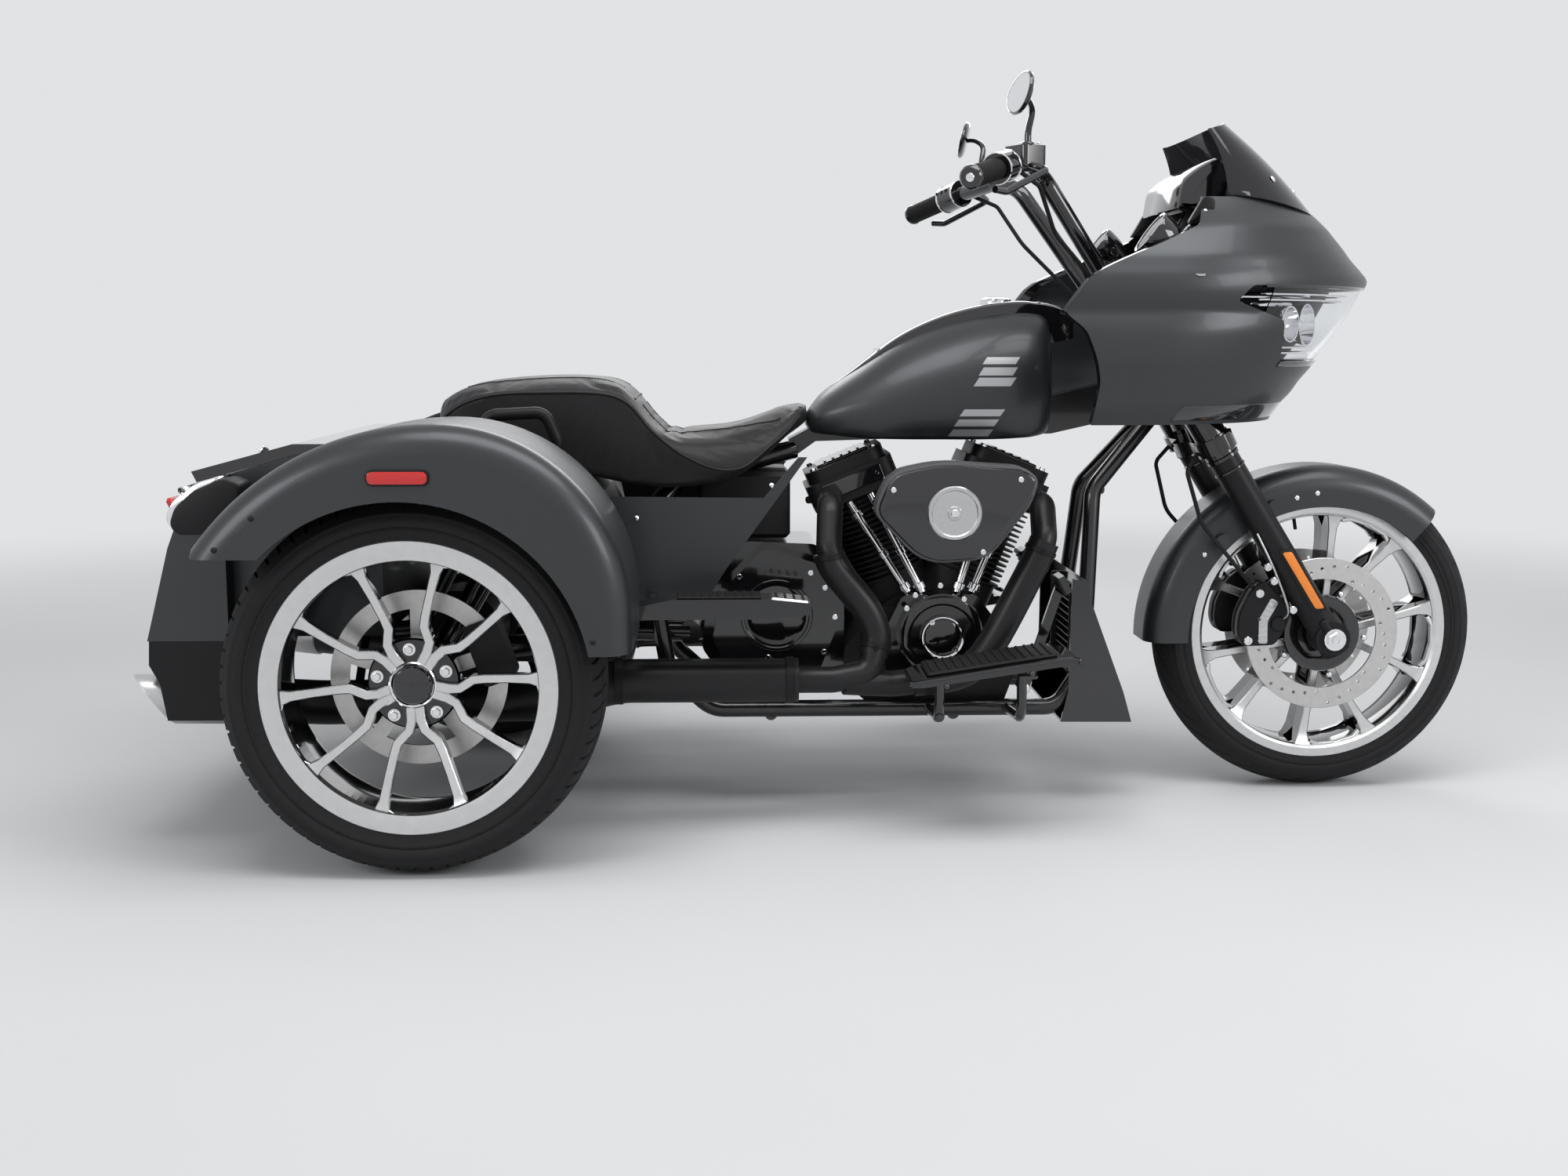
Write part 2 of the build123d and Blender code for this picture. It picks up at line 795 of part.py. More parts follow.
def make_crankcase():
    """Engine case with its cylinder decks, a plain heavy block inside."""
    case = across(crank_x, crank_z + 10, 138, -110, 110)
    case += plate(
        [(40, 190), (300, 190), (322, 250), (262, 380), (60, 380), (-8, 300), (-8, 230)],
        -122,
        122,
        [12, 12, 20, 20, 20, 20, 12],
    )
    case -= block(-400, 700, -200, 200, 0, engine_floor)
    case = largest(case)
    for sign in (-1, 1):
        deck = cylinder_frame(sign)
        case += extrude(deck.offset(90) * Circle(fin_r - 6), amount=fins_start - 90 - fit_gap)
    return largest(case - cylinders_solid[0] - cylinders_solid[1])


def make_cylinders():
    """Both finned barrels with their heads and rocker covers."""
    barrels = []
    for sign in (-1, 1):
        frame = cylinder_frame(sign)
        points = [(0.0, fins_start)]
        for index in range(fin_count):
            low = fins_start + index * fin_pitch
            high = low + fin_thickness
            points += [(bore_r, low), (fin_r, low), (fin_r, high), (bore_r, high)]
        fins_end = fins_start + fin_count * fin_pitch
        points += [(bore_r, fins_end), (0.0, fins_end)]
        face = make_face(Polyline(*points, close=True))
        barrel = revolve(Plane.XZ * face, Axis.Z)
        barrel = frame * barrel
        head = extrude(frame.offset(fins_end) * RectangleRounded(176, 196, 26), amount=head_top - fins_end)
        cover = extrude(frame.offset(head_top) * RectangleRounded(158, 180, 34), amount=cover_top - head_top)
        piece = barrel + head + cover
        barrels.append(piece)
    rear, front = barrels
    front -= rear
    return [largest(rear), largest(front)]


def make_cam_cover():
    cover = across(cam_x, cam_z, 82, -186, -122 - fit_gap)
    cover += plate(
        [(70, 250), (300, 250), (300, 330), (240, 408), (100, 408), (62, 330)], -160, -122 - fit_gap,
        [20, 20, 30, 20, 20, 30],
    )
    cover += across(cam_x, cam_z, 42, -196, -180)
    return cover


def make_pushrod_tubes():
    """The four tubes from the cam cover's top up to the heads."""
    tubes = []
    for sign, low_xs in ((-1, (112.0, 140.0)), (1, (206.0, 234.0))):
        frame = cylinder_frame(sign)
        for low_x, shift in zip(low_xs, (-22.0, 22.0)):
            top = frame * Pos(shift, -104.0, fins_start + fin_count * fin_pitch - 2)
            rise = rod((low_x, -132.0, 409.0), tuple(top.position), pushrod_r)
            tubes.append(largest(rise - cylinders_solid[0] - cylinders_solid[1] - cam_solid))
    return tubes


def make_air_cleaner():
    """The teardrop cover between the cylinders, on its intake that joins both heads."""
    outline = [(28, 580), (58, 652), (150, 672), (300, 662), (328, 640), (316, 596), (238, 494), (120, 486)]
    radii = [24, 34, 40, 18, 14, 40, 34, 44]
    cover = plate(outline, -332, -232, radii)
    cover = chamfer(cover.faces().sort_by(Axis.Y)[0].edges(), 12)
    throat = across(crank_x, 606, 26, -233, 20)
    manifold = block(60, 250, -26, 26, 586, 626)
    intake = join(throat, manifold) - cylinders_solid[0] - cylinders_solid[1]
    return largest(cover + largest(intake))


def make_transmission():
    """Gearbox behind the engine with its round side cover."""
    case = plate(
        [(-8.3, 250), (-8.3, 420), (-60, 500), (-200, 506),
         (-268, 430), (-282, 300), (-230, 222), (-60, 222)],
        -112,
        112,
        [16, 20, 26, 26, 26, 26, 20, 16],
    )
    case += plate(
        [(-20, 365), (-62, 470), (-163, 500), (-229, 433), (-262, 330), (-230, 262), (-60, 262)],
        -176,
        -110,
        [26, 26, 26, 26, 30, 26, 26],
    )
    return case


def make_primary_cover():
    """The long oval cover on the left of the engine."""
    outline = [(-250, 300), (-190, 420), (60, 400), (300, 352), (318, 250), (200, 208), (-180, 222)]
    cover = plate(outline, 124, 214, [50, 50, 60, 56, 50, 50, 50])
    cover = chamfer(cover.faces().sort_by(Axis.Y)[-1].edges(), 14)
    return cover


# Exhaust
def make_headers():
    """Both header pipes, from the heads' right sides to the muffler's front end."""
    joint = (-104.0 + fit_gap, -muffler_y, 272.0)
    rear = tube(
        [
            (-34.0, -98.3, 588.0),
            (-42.0, -212.0, 580.0),
            (-46.0, -252.0, 500.0),
            (46.0, -262.0, 352.0),
            (26.0, -284.0, 282.0),
            (-40.0, -muffler_y, 272.0),
            joint,
        ],
        header_r,
        [28, 40, 60, 34, 40],
    )
    front = tube(
        [
            (344.0, -98.3, 588.0),
            (356.0, -198.0, 580.0),
            (352.0, -250.0, 520.0),
            (222.0, -262.0, 272.0),
            (70.0, -270.0, 258.0),
            (-20.0, -290.0, 266.0),
        ],
        header_r,
        [28, 40, 70, 60],
    )
    return largest(rear + front - cylinders_solid[0] - cylinders_solid[1])


def make_muffler(side):
    y = side * muffler_y
    body = tube(
        [
            (-104.0, y, 272.0),
            (-430.0, y, 272.0),
            (-560.0, y, 240.0),
            (-960.0, side * 320.0, 240.0),
            (-1090.0, side * 345.0, 252.0),
            (-1266.0, side * 393.0, 264.0),
        ],
        muffler_r,
        [200, 200, 200, 160],
    )
    tip_outline = [(-1320, 332), (-1270.8, 332), (-1178, 202), (-1320, 202)]
    tip_cut = plate(tip_outline, side * 386 - 80, side * 386 + 80)
    hanger = rod((-900.0, side * subframe_y, trunk_floor_z - subframe_r), (-900.0, side * 308.0, 262.0), 8)
    return largest(body - tip_cut + largest(hanger - subframe_solid))


def make_exhaust_crossover():
    """The balance pipe between both mufflers."""
    pipe = across(-430.0, 280.0, 15, -muffler_y + 20, muffler_y - 20)
    return largest(pipe - muffler_right_solid - muffler_left_solid)


# Bodywork
def oval_section(z, x_rear, x_shoulder, x_nose, half, nose_r):
    """A level outline: flat back, straight sides, then arcs that meet at the nose."""
    back = x_nose - nose_r - x_shoulder
    rise = half - nose_r
    shrink = (back * back + rise * rise) / (2 * rise)
    side_r = nose_r + shrink
    angle = math.atan2(shrink - rise, back)
    join_x = x_nose - nose_r + nose_r * math.cos(angle)
    join_y = nose_r * math.sin(angle)
    middle = (angle + math.pi / 2) / 2
    mid_x = x_shoulder + side_r * math.cos(middle)
    mid_y = half - side_r + side_r * math.sin(middle)
    lines = [
        Line((x_rear, half), (x_rear, -half)),
        Line((x_rear, -half), (x_shoulder, -half)),
        ThreePointArc((x_shoulder, -half), (mid_x, -mid_y), (join_x, -join_y)),
        ThreePointArc((join_x, -join_y), (x_nose, 0), (join_x, join_y)),
        ThreePointArc((join_x, join_y), (mid_x, mid_y), (x_shoulder, half)),
        Line((x_shoulder, half), (x_rear, half)),
    ]
    return Pos(0, 0, z) * make_face(lines)


def shield_body(setback, extra):
    """The wedge behind the windshield's curved face, moved back by a setback."""
    faces = []
    for index, (z, x_side, half, x_middle) in enumerate(windshield_sections):
        z += extra * (2 * index - 1)
        arc = ThreePointArc((x_side - setback, -half), (x_middle - setback, 0), (x_side - setback, half))
        back = Line((x_side - setback, half), (x_side - setback, -half))
        faces.append(Pos(0, 0, z) * make_face([arc, back]))
    return loft(faces, ruled=True)


def oval_body(sections, inset, extra_back, low_extra, high_extra):
    """A body lofted through level sections, drawn in by an inset."""
    faces = []
    last = len(sections) - 1
    for index, (z, x_rear, x_shoulder, x_nose, half, nose_r) in enumerate(sections):
        if index == 0:
            z -= low_extra
        if index == last:
            z += high_extra
        faces.append(
            oval_section(z, x_rear - extra_back, x_shoulder, x_nose - inset, half - inset, nose_r - inset)
        )
    return loft(faces, ruled=True)


def make_fairing_shell():
    outer = oval_body(fairing_sections, 0, 0, 0, 0) + oval_body(fairing_top_sections, 0, 0, 0, 0)
    inner = oval_body(fairing_sections, skin, 60, 20, 0) + oval_body(
        fairing_top_sections, skin, 60, 0, -skin
    )
    shell = outer - inner
    lamp_hole = plate(lamp_outline, -400, 400)
    shell -= lamp_hole
    return largest(shell)


def make_headlamps():
    body = oval_body(fairing_sections, skin + fit_gap, 0, 0, 0)
    zone = plate(
        [(677, 956.2), (706.3, 983.7), (1040, 983.7), (1040, 846.3), (776.3, 846.3), (776.3, 921.7)],
        -400,
        400,
    )
    lamp = body & zone
    core = oval_body(fairing_sections, skin + 40, 60, 20, 0)
    return (lamp - core).solids()


def make_windshield():
    """A smoked curved pane whose foot stands on the fairing."""
    pane = shield_body(0, 0) - shield_body(wall, 0)
    pane -= oval_body(fairing_top_sections, 0, 0, 0, 0)
    return largest(pane)


def dash_normal():
    """Unit direction square to the dash, towards the rider."""
    run_x = dash_high[0] - dash_low[0]
    run_z = dash_high[1] - dash_low[1]
    length = math.hypot(run_x, run_z)
    return -run_z / length, run_x / length


def make_fairing_inner():
    """The dash wall, set inside the shell."""
    inner = oval_body(fairing_top_sections, skin + fit_gap, 0, 0, -skin - fit_gap)
    normal_x, normal_z = dash_normal()
    back = [
        (x - normal_x * dash_thickness, z - normal_z * dash_thickness) for x, z in (dash_high, dash_low)
    ]
    return largest(inner & plate([dash_low, dash_high] + back, -400, 400))


def make_instrument_panel():
    """Gauges and screen on the dash wall."""
    normal_x, normal_z = dash_normal()
    middle_x = (dash_low[0] + dash_high[0]) / 2 + normal_x * fit_gap
    middle_z = (dash_low[1] + dash_high[1]) / 2 + normal_z * fit_gap
    plane = Plane(origin=(middle_x, 0, middle_z), x_dir=(0, 1, 0), z_dir=(normal_x, 0, normal_z))
    return extrude(plane * RectangleRounded(200, 110, 14), amount=14)


def make_fairing_bracket():
    """The stay between the steering neck and the fairing's sides."""
    stay = block(640, 792, -18, 18, 776, 804) + block(776, 792, -400, 400, 776, 804)
    neck = rod((axis_x(700), 0, 700), (axis_x(900), 0, 900), neck_r + fit_gap)
    room = oval_body(fairing_sections, skin + fit_gap, 0, 0, 0)
    return largest((stay - neck) & room)


def tank_section(x, z_low, z_wide, z_top, low_half, half):
    """An upright outline: flat bottom, bulging sides and a rounded top."""
    bulge_y = half - (half - low_half) * 0.25
    bulge_z = (z_low + z_wide) / 2
    lines = [
        Line((-low_half, z_low), (low_half, z_low)),
        ThreePointArc((low_half, z_low), (bulge_y, bulge_z), (half, z_wide)),
        ThreePointArc((half, z_wide), (0, z_top), (-half, z_wide)),
        ThreePointArc((-half, z_wide), (-bulge_y, bulge_z), (-low_half, z_low)),
    ]
    return Plane.YZ.offset(x) * make_face(lines)


def make_fuel_tank():
    tank = loft([tank_section(*row) for row in tank_sections], ruled=True)
    tunnel = plate(
        [(-200, 600), (460, 600), (460, 815), (380, 790), (-200, 765)],
        -backbone_half - fit_gap,
        backbone_half + fit_gap,
    )
    return largest(tank - tunnel)


def make_tank_console():
    """The gloss strip along the top of the tank."""
    strip = plate(
        [(-40, 770), (124, 903), (231, 952), (384, 962), (428, 944), (428, 890), (384, 880), (100, 800)],
        -52,
        52,
    )
    return largest(strip - tank_solid)


def make_seat():
    """Rider's dish and passenger step as one cushion over the frame."""
    seat = plate(seat_outline, -seat_half_width, seat_half_width, seat_bends)
    return largest(seat - plate(seat_tunnel, -120, 120))


def make_side_covers():
    """Flat-sided covers below the seat, on pegs from the frame's uprights."""
    outline = [
        (-418, 372),
        (-424, 470),
        (-452, 600),
        (-165, 597),
        (-100, 672),
        (-84, 672),
        (-237, 461),
        (-266, 414),
        (-303, 372),
    ]
    cover = plate(outline, side_cover_y - side_cover_wall, side_cover_y)
    peg = largest(across(-376, 444, 8, rail_y - 12, side_cover_y - 1) - cradle_solid)
    cover = cover - deck_solid + peg
    cover -= across(board_bar_x, board_bar_z, board_bar_r + fit_gap, 0, 300)
    return pair(largest(cover))


def fender_outline(inset):
    """The fender's side outline, drawn in by an inset."""
    top_x, top_z = fender_top
    front_cz = top_z - fender_front_r
    drop = top_z - fender_rear_end[1]
    back = top_x - fender_rear_end[0]
    rear_r = (drop * drop + back * back) / (2 * drop)
    rear_angle = math.asin(back / rear_r)
    r_front = fender_front_r - inset
    r_rear = rear_r - inset
    front_point = (top_x + r_front, front_cz)
    rear_cz = top_z - rear_r
    rear_mid = (top_x - r_rear * math.sin(rear_angle / 2), rear_cz + r_rear * math.cos(rear_angle / 2))
    rear_point = (top_x - r_rear * math.sin(rear_angle), rear_cz + r_rear * math.cos(rear_angle))
    diagonal = r_front * math.sqrt(0.5)
    low = fender_front_low[1] - inset
    lines = [
        Line((front_point[0], low), front_point),
        ThreePointArc(front_point, (top_x + diagonal, front_cz + diagonal), (top_x, top_z - inset)),
        ThreePointArc((top_x, top_z - inset), rear_mid, rear_point),
        Line(rear_point, (rear_point[0] + 6, low)),
        Line((rear_point[0] + 6, low), (front_point[0], low)),
    ]
    return make_face(lines)


def fender_block():
    """The left fender's outer form, before it is hollowed."""
    fender_width = fender_outer_y - fender_inner_y
    solid = extrude(Plane.XZ.offset(-fender_outer_y) * fender_outline(0), amount=fender_width)
    edges = solid.faces().sort_by(Axis.Y)[-1].edges()
    return fillet([edge for edge in edges if edge.geom_type == GeomType.CIRCLE], 46)


def make_rear_fender():
    """The left rear fender: a deep crowned shell with a wheel opening in its side."""
    hollow_depth = fender_outer_y - fender_inner_y - skin
    hollow = extrude(
        Plane.XZ.offset(-fender_outer_y + skin) * fender_outline(skin), amount=hollow_depth + 10
    )
    inner_edges = hollow.faces().sort_by(Axis.Y)[-1].edges()
    hollow = fillet([edge for edge in inner_edges if edge.geom_type == GeomType.CIRCLE], 42)
    shell = fender_block_solid - hollow
    arch_x, arch_z = fender_arch_centre
    shell -= across(arch_x, arch_z, fender_arch_r, fender_outer_y - 60, fender_outer_y + 10)
    rear_low = fender_rear_end[1] - 16
    shell -= block(-1300, arch_x, 300, 800, 100, rear_low)
    shell -= block(-1300, fender_front_low[0] - 60, 300, 800, 100, fender_front_low[1] - 1)
    return largest(shell)


def make_trunk_body():
    """The open-topped load box, wider behind the wheels."""
    outer = plate(
        [(-1150, 642), (-1192, 533), (-1224, 410), (-1234, trunk_floor_z), (trunk_front_x, trunk_floor_z),
         (trunk_front_x, trunk_rim_z), (-980, trunk_rim_z)],
        -trunk_half_width + fit_gap,
        trunk_half_width - fit_gap,
    )
    cheeks = plate(
        [(-1150, 642), (-1192, 533), (-1224, 410), (-1234, trunk_floor_z),
         (-1094, trunk_floor_z), (-1094, 657.5)],
        -trunk_rear_half_width,
        trunk_rear_half_width,
    )
    body = outer + cheeks
    half = trunk_half_width - wall - fit_gap
    room = plate(
        [(-1144, 635), (-1188, 533), (-1219, 410), (-1219, trunk_floor_z + 5),
         (trunk_front_x - 5, trunk_floor_z + 5), (trunk_front_x - 5, trunk_rim_z - 6), (-981, trunk_rim_z - 6)],
        -half,
        half,
    )
    mouth_outline = [(-1136, 620), (-1136, 700), (-853, 700), (-853, 620)]
    mouth = plate(mouth_outline, -half + rim_flange, half - rim_flange)
    body = largest(body - room - mouth)
    low, high = hinge_y
    lug = [
        (trunk_front_x - 2, 668),
        (trunk_front_x - 2, 688),
        (trunk_front_x + 2, 694),
        (trunk_front_x + 2, hinge_z + 5),
        (hinge_x + 6, hinge_z + 5),
        (hinge_x + 6, 690),
        (trunk_front_x + 2, 668),
    ]
    for side in (-1, 1):
        for y in (low - fit_gap - 6, high + fit_gap):
            ends = sorted((side * y, side * (y + 6)))
            body += plate(lug, *ends)
        ends = sorted((side * (low - 3), side * (high + 3)))
        body += across(hinge_x, hinge_z, hinge_pin_r, *ends)
    return body


def make_trunk_lid():
    """A lid over the load box, hinged along its front edge."""
    under = trunk_rim_z + fit_gap
    lid = plate(
        [
            (lid_front_x, under),
            (lid_front_x, under + lid_thickness),
            (-986, under + lid_thickness),
            (-1162, 661),
            (-1153, 642),
            (-981, under),
        ],
        -trunk_half_width + 8,
        trunk_half_width - 8,
    )
    low, high = hinge_y
    for side in (-1, 1):
        ends = sorted((side * low, side * high))
        lid += across(hinge_x, hinge_z, hinge_barrel_r, *ends)
        lid += block(lid_front_x - 6, hinge_x, *ends, hinge_z + 2, hinge_z + hinge_barrel_r)
        lid -= across(hinge_x, hinge_z, hinge_pin_r + fit_gap, *ends)
    return lid


def make_rear_valance():
    """The dark lower rear panel round the exhaust tips."""
    top_z = trunk_floor_z - fit_gap
    outer = plate(
        [(-1231, top_z), (-1233, 330), (-1216, 298), (-1205, 232), (-1094, 232), (-1094, top_z)],
        -trunk_rear_half_width,
        trunk_rear_half_width,
    )
    inner = plate(
        [(-1226, top_z), (-1228, 331), (-1211, 297), (-1200, 200), (-1000, 200), (-1000, top_z)],
        -trunk_rear_half_width + wall,
        trunk_rear_half_width - wall,
    )
    shell = outer - inner
    for side in (-1, 1):
        shell -= rod((-1090, side * 345, 252), (-1260, side * 391.5, 262.4), muffler_r + swing_gap)
    return largest(shell)


def make_grab_rails():
    """Passenger hand rails beside the seat, standing on the deck."""
    y = seat_half_width + 92
    rail = tube(
        [
            (-664.0, y - 12, deck_z + fit_gap),
            (-672.0, y, 752.0),
            (-560.0, y + 6, 758.0),
            (-538.0, y, 704.0),
            (-550.0, y - 12, deck_z + fit_gap),
        ],
        11,
        [24, 26, 24],
    )
    return pair(largest(rail - deck_solid))


def make_tail_lamps():
    """Lamps behind the fenders' crowns."""
    lamp = plate(
        [(-1148, 655), (-1172, 600), (-1170, 575), (-1060, 575), (-1000, 655)],
        440,
        520,
        [14, 10, 8, 2, 2],
    )
    return pair(largest(lamp - fender_block_solid))


def make_rear_reflectors():
    """Stadium-shaped side markers on the fenders."""
    marker = plate([(-798, 662), (-702, 662), (-702, 684), (-798, 684)], fender_outer_y, fender_outer_y + 5,
                   [10.5, 10.5, 10.5, 10.5])
    return pair(marker)


def make_plate_bracket():
    """The bracket for a registration plate, with its four holes."""
    rear_x = -1233.0 - fit_gap
    bracket = block(rear_x - 4, rear_x, -115, 115, 246, 366)
    spacing_y, spacing_z = plate_holes
    for y in (-spacing_y / 2, spacing_y / 2):
        for z in (306 - spacing_z / 2, 306 + spacing_z / 2):
            bracket -= rod((rear_x - 10, y, z), (rear_x + 10, y, z), plate_hole_r)
    return bracket


# Running gear below
def make_rear_axle():
    """Live axle tube with its central gear housing and wheel spindles."""
    z = rear_centre_z
    axle = across(rear_axle_x, z, axle_tube_r, -axle_tube_half, axle_tube_half)
    axle += across(rear_axle_x, z, rear_spindle_r, -rear_wheel_y - 24, rear_wheel_y + 24)
    axle += across(rear_axle_x, z, 86, -64, 64)
    axle += across(rear_axle_x, z, 58, -120, 120)
    return axle


def make_swingarm():
    """Two arms from the pivot behind the gearbox to the axle tube."""
    pivot_x = -304.5
    arm = tube(
        [
            (pivot_x, 96.0, 330.0),
            (-430.0, 96.0, 334.0),
            (-600.0, 222.0, 326.0),
            (rear_axle_x, 238.0, rear_centre_z),
        ],
        20,
        [60, 90],
    )
    arm -= across(rear_axle_x, rear_centre_z, axle_tube_r + fit_gap, 0, 400)
    arm = largest(arm)
    return join(arm, mirrored(arm), across(pivot_x, 330, 22, -112, 112))


def make_shocks():
    """Shock absorbers from the axle tube up to the subframe's bar."""
    low = (rear_axle_x, shock_y, rear_centre_z)
    high = (shock_bar_x, shock_y, shock_bar_z)
    body = rod(low, high, 22)
    body -= across(rear_axle_x, rear_centre_z, axle_tube_r + fit_gap, 0, 400)
    body -= across(shock_bar_x, shock_bar_z, subframe_r + fit_gap, 0, 400)
    return pair(largest(body))


def make_rear_calipers():
    """Calipers on brackets from the axle tube's ends."""
    y_disc = rear_disc_y - disc_offset - disc_thickness / 2
    y_low = y_disc - 42
    axle = (rear_axle_x, rear_centre_z)
    body = caliper(axle, rear_caliper_angle, y_disc, y_low, y_disc + 14, 110, 60)
    centre = (rear_axle_x, 0, rear_centre_z)
    bracket = spoke_bar(
        centre, (axle_tube_r - 4, rear_caliper_angle), (110, rear_caliper_angle), 44, y_low - 12, y_low + 2
    )
    bracket -= across(*axle, axle_tube_r + fit_gap, 0, 700)
    return pair(body + bracket)


def belt_loop(extra):
    """The outline that a belt takes round both pulleys, with an extra thickness."""
    front_x, front_z, front_r = front_pulley
    low, high = pulley_y
    run = math.hypot(front_x - rear_axle_x, front_z - rear_centre_z)
    lean = math.asin((pulley_r - front_r) / run)
    tilt = math.atan2(front_z - rear_centre_z, front_x - rear_axle_x)
    corners = []
    for centre_x, centre_z, radius, turn in (
        (rear_axle_x, rear_centre_z, pulley_r + extra, 1),
        (front_x, front_z, front_r + extra, 1),
        (front_x, front_z, front_r + extra, -1),
        (rear_axle_x, rear_centre_z, pulley_r + extra, -1),
    ):
        angle = tilt + turn * (math.pi / 2 - lean)
        corners.append((centre_x + radius * math.cos(angle), centre_z + radius * math.sin(angle)))
    loop = plate(corners, low, high)
    loop += across(rear_axle_x, rear_centre_z, pulley_r + extra, low, high)
    return loop + across(front_x, front_z, front_r + extra, low, high)


def make_belt_drive():
    """The rear pulley on its axle and the belt that comes from behind the primary cover."""
    low, high = pulley_y
    pulley = across(rear_axle_x, rear_centre_z, pulley_r - fit_gap, low, high)
    pulley -= across(rear_axle_x, rear_centre_z, axle_tube_r + fit_gap, low - 1, high + 1)
    belt = belt_loop(belt_thickness) - belt_loop(0)
    belt -= primary_solid
    return [pulley, largest(belt)]


def make_chin_spoiler():
    """The hollow cover in front of the down tubes, open behind and on top."""
    half = rail_y + rail_r + fit_gap
    chin = plate(chin_outline, -half - wall, half + wall)
    room = plate([(300, 500), (451, 500), (447, 411), (519, 219), (535, 166), (300, 166)], -half, half)
    return largest(chin - room - cradle_solid)


def make_footboards():
    """Rider's boards on two bent brackets from the floor rails."""
    low, high = board_y
    board = plate(
        [(89, 284), (92, 292), (110, 300), (354, 338), (386, 330), (396, 318), (386, 312), (352, 320), (112, 284)],
        low,
        high,
    )
    for x, top_z in ((150.0, 292.0), (300.0, 314.0)):
        bracket = tube(
            [(x, rail_y, rail_z), (x, 340.0, 206.0), (x, 340.0, top_z)],
            9,
            [30],
        )
        board += bracket
    return pair(largest(board - cradle_solid))


def make_foot_controls():
    """The brake pedal on the right and the gear lever on the left, on pivots from the down tubes."""
    arm = plate([(320, 226), (338, 226), (398, 408), (404, 432), (388, 432), (380, 410)], 178, 188)
    pad = Pos(394, 213, 436) * Rot(0, -28, 0) * Box(12, 60, 34)
    pivot = across(330, 232, 11, rail_y, 190)
    drop = block(322, 338, rail_y, rail_y + 8, rail_z, 236)
    return pair(largest(join(arm, pad, pivot, drop) - cradle_solid - chin_solid))


def make_passenger_boards():
    """Passenger's boards, each on a bar from the frame's upright."""
    board = plate(
        [(-403, 397), (-403, 418), (-330, 433), (-160, 433), (-84, 425), (-84, 405), (-160, 397)], 300, 384
    )
    board += across(board_bar_x, board_bar_z, board_bar_r, rail_y - 10, 310)
    return pair(largest(board - cradle_solid))


os.makedirs("parts", exist_ok=True)
tank_solid = make_fuel_tank()
upper_tree_solid = tree(upper_tree_z, 50)
handlebar_solid = make_handlebar()
backbone_solid = make_frame_backbone()
cradle_solid = make_frame_cradle()
subframe_solid = make_rear_subframe()
deck_solid = make_body_deck()
cylinders_solid = make_cylinders()
primary_solid = make_primary_cover()
fender_block_solid = fender_block()
muffler_right_solid = make_muffler(-1)
muffler_left_solid = make_muffler(1)
trees_solid = make_fork_trees()
calipers_solid = make_front_calipers()[0]
controls_solid = make_bar_controls()[0]
chin_solid = make_chin_spoiler()
cam_solid = make_cam_cover()
rear_rim_solid = make_rear_rim()
rear_tyre_solid = make_rear_tyre()
rear_disc_solid = make_rear_disc()
rear_fender_solid = make_rear_fender()

nodes = {
    "front_rim": make_front_rim(),
    "front_tyre": make_front_tyre(),
    "front_discs": make_front_discs(),
    "rear_rim_left": rear_rim_solid,
    "rear_rim_right": mirrored(rear_rim_solid),
    "rear_tyre_left": rear_tyre_solid,
    "rear_tyre_right": mirrored(rear_tyre_solid),
    "rear_disc_left": rear_disc_solid,
    "rear_disc_right": mirrored(rear_disc_solid),
    "front_axle": make_front_axle(),
    "fork_sliders": make_fork_sliders(),
    "fork_trees": trees_solid,
    "fork_reflectors": make_fork_reflectors(),
    "brake_hoses": make_brake_hoses(),
    "front_fender": make_front_fender(),
    "front_calipers": pair(calipers_solid),
    "handlebar": handlebar_solid,
    "grips": make_grips(),
    "bar_controls": pair(controls_solid),
    "control_cables": make_control_cables(),
    "mirrors": make_mirrors(),
    "frame_backbone": backbone_solid,
    "frame_cradle": cradle_solid,
    "rear_subframe": subframe_solid,
    "body_deck": deck_solid,
    "engine_crankcase": make_crankcase(),
    "engine_cylinders": cylinders_solid,
    "cam_cover": cam_solid,
    "pushrod_tubes": make_pushrod_tubes(),
    "air_cleaner": make_air_cleaner(),
    "transmission": make_transmission(),
    "primary_cover": primary_solid,
    "exhaust_headers": make_headers(),
    "mufflers": [muffler_right_solid, muffler_left_solid, make_exhaust_crossover()],
    "fairing_shell": make_fairing_shell(),
    "headlamps": make_headlamps(),
    "windshield": make_windshield(),
    "fairing_inner": make_fairing_inner(),
    "instrument_panel": make_instrument_panel(),
    "fairing_bracket": make_fairing_bracket(),
    "fuel_tank": tank_solid,
    "tank_console": make_tank_console(),
    "seat": make_seat(),
    "side_covers": make_side_covers(),
    "rear_fenders": pair(rear_fender_solid),
    "trunk_body": make_trunk_body(),
    "trunk_lid": make_trunk_lid(),
    "rear_valance": make_rear_valance(),
    "plate_bracket": make_plate_bracket(),
    "grab_rails": make_grab_rails(),
    "rear_lights": make_tail_lamps() + make_rear_reflectors(),
    "rear_axle": make_rear_axle(),
    "swingarm": make_swingarm(),
    "shocks": make_shocks(),
    "rear_calipers": make_rear_calipers(),
    "belt_drive": make_belt_drive(),
    "chin_spoiler": chin_solid,
    "foot_controls": make_foot_controls(),
    "footboards": make_footboards(),
    "passenger_boards": make_passenger_boards(),
}
for name, shapes in nodes.items():
    export_node(name, shapes)
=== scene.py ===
import bmesh
import bpy
import math
from mathutils import Matrix, Vector
from mathutils.bvhtree import BVHTree


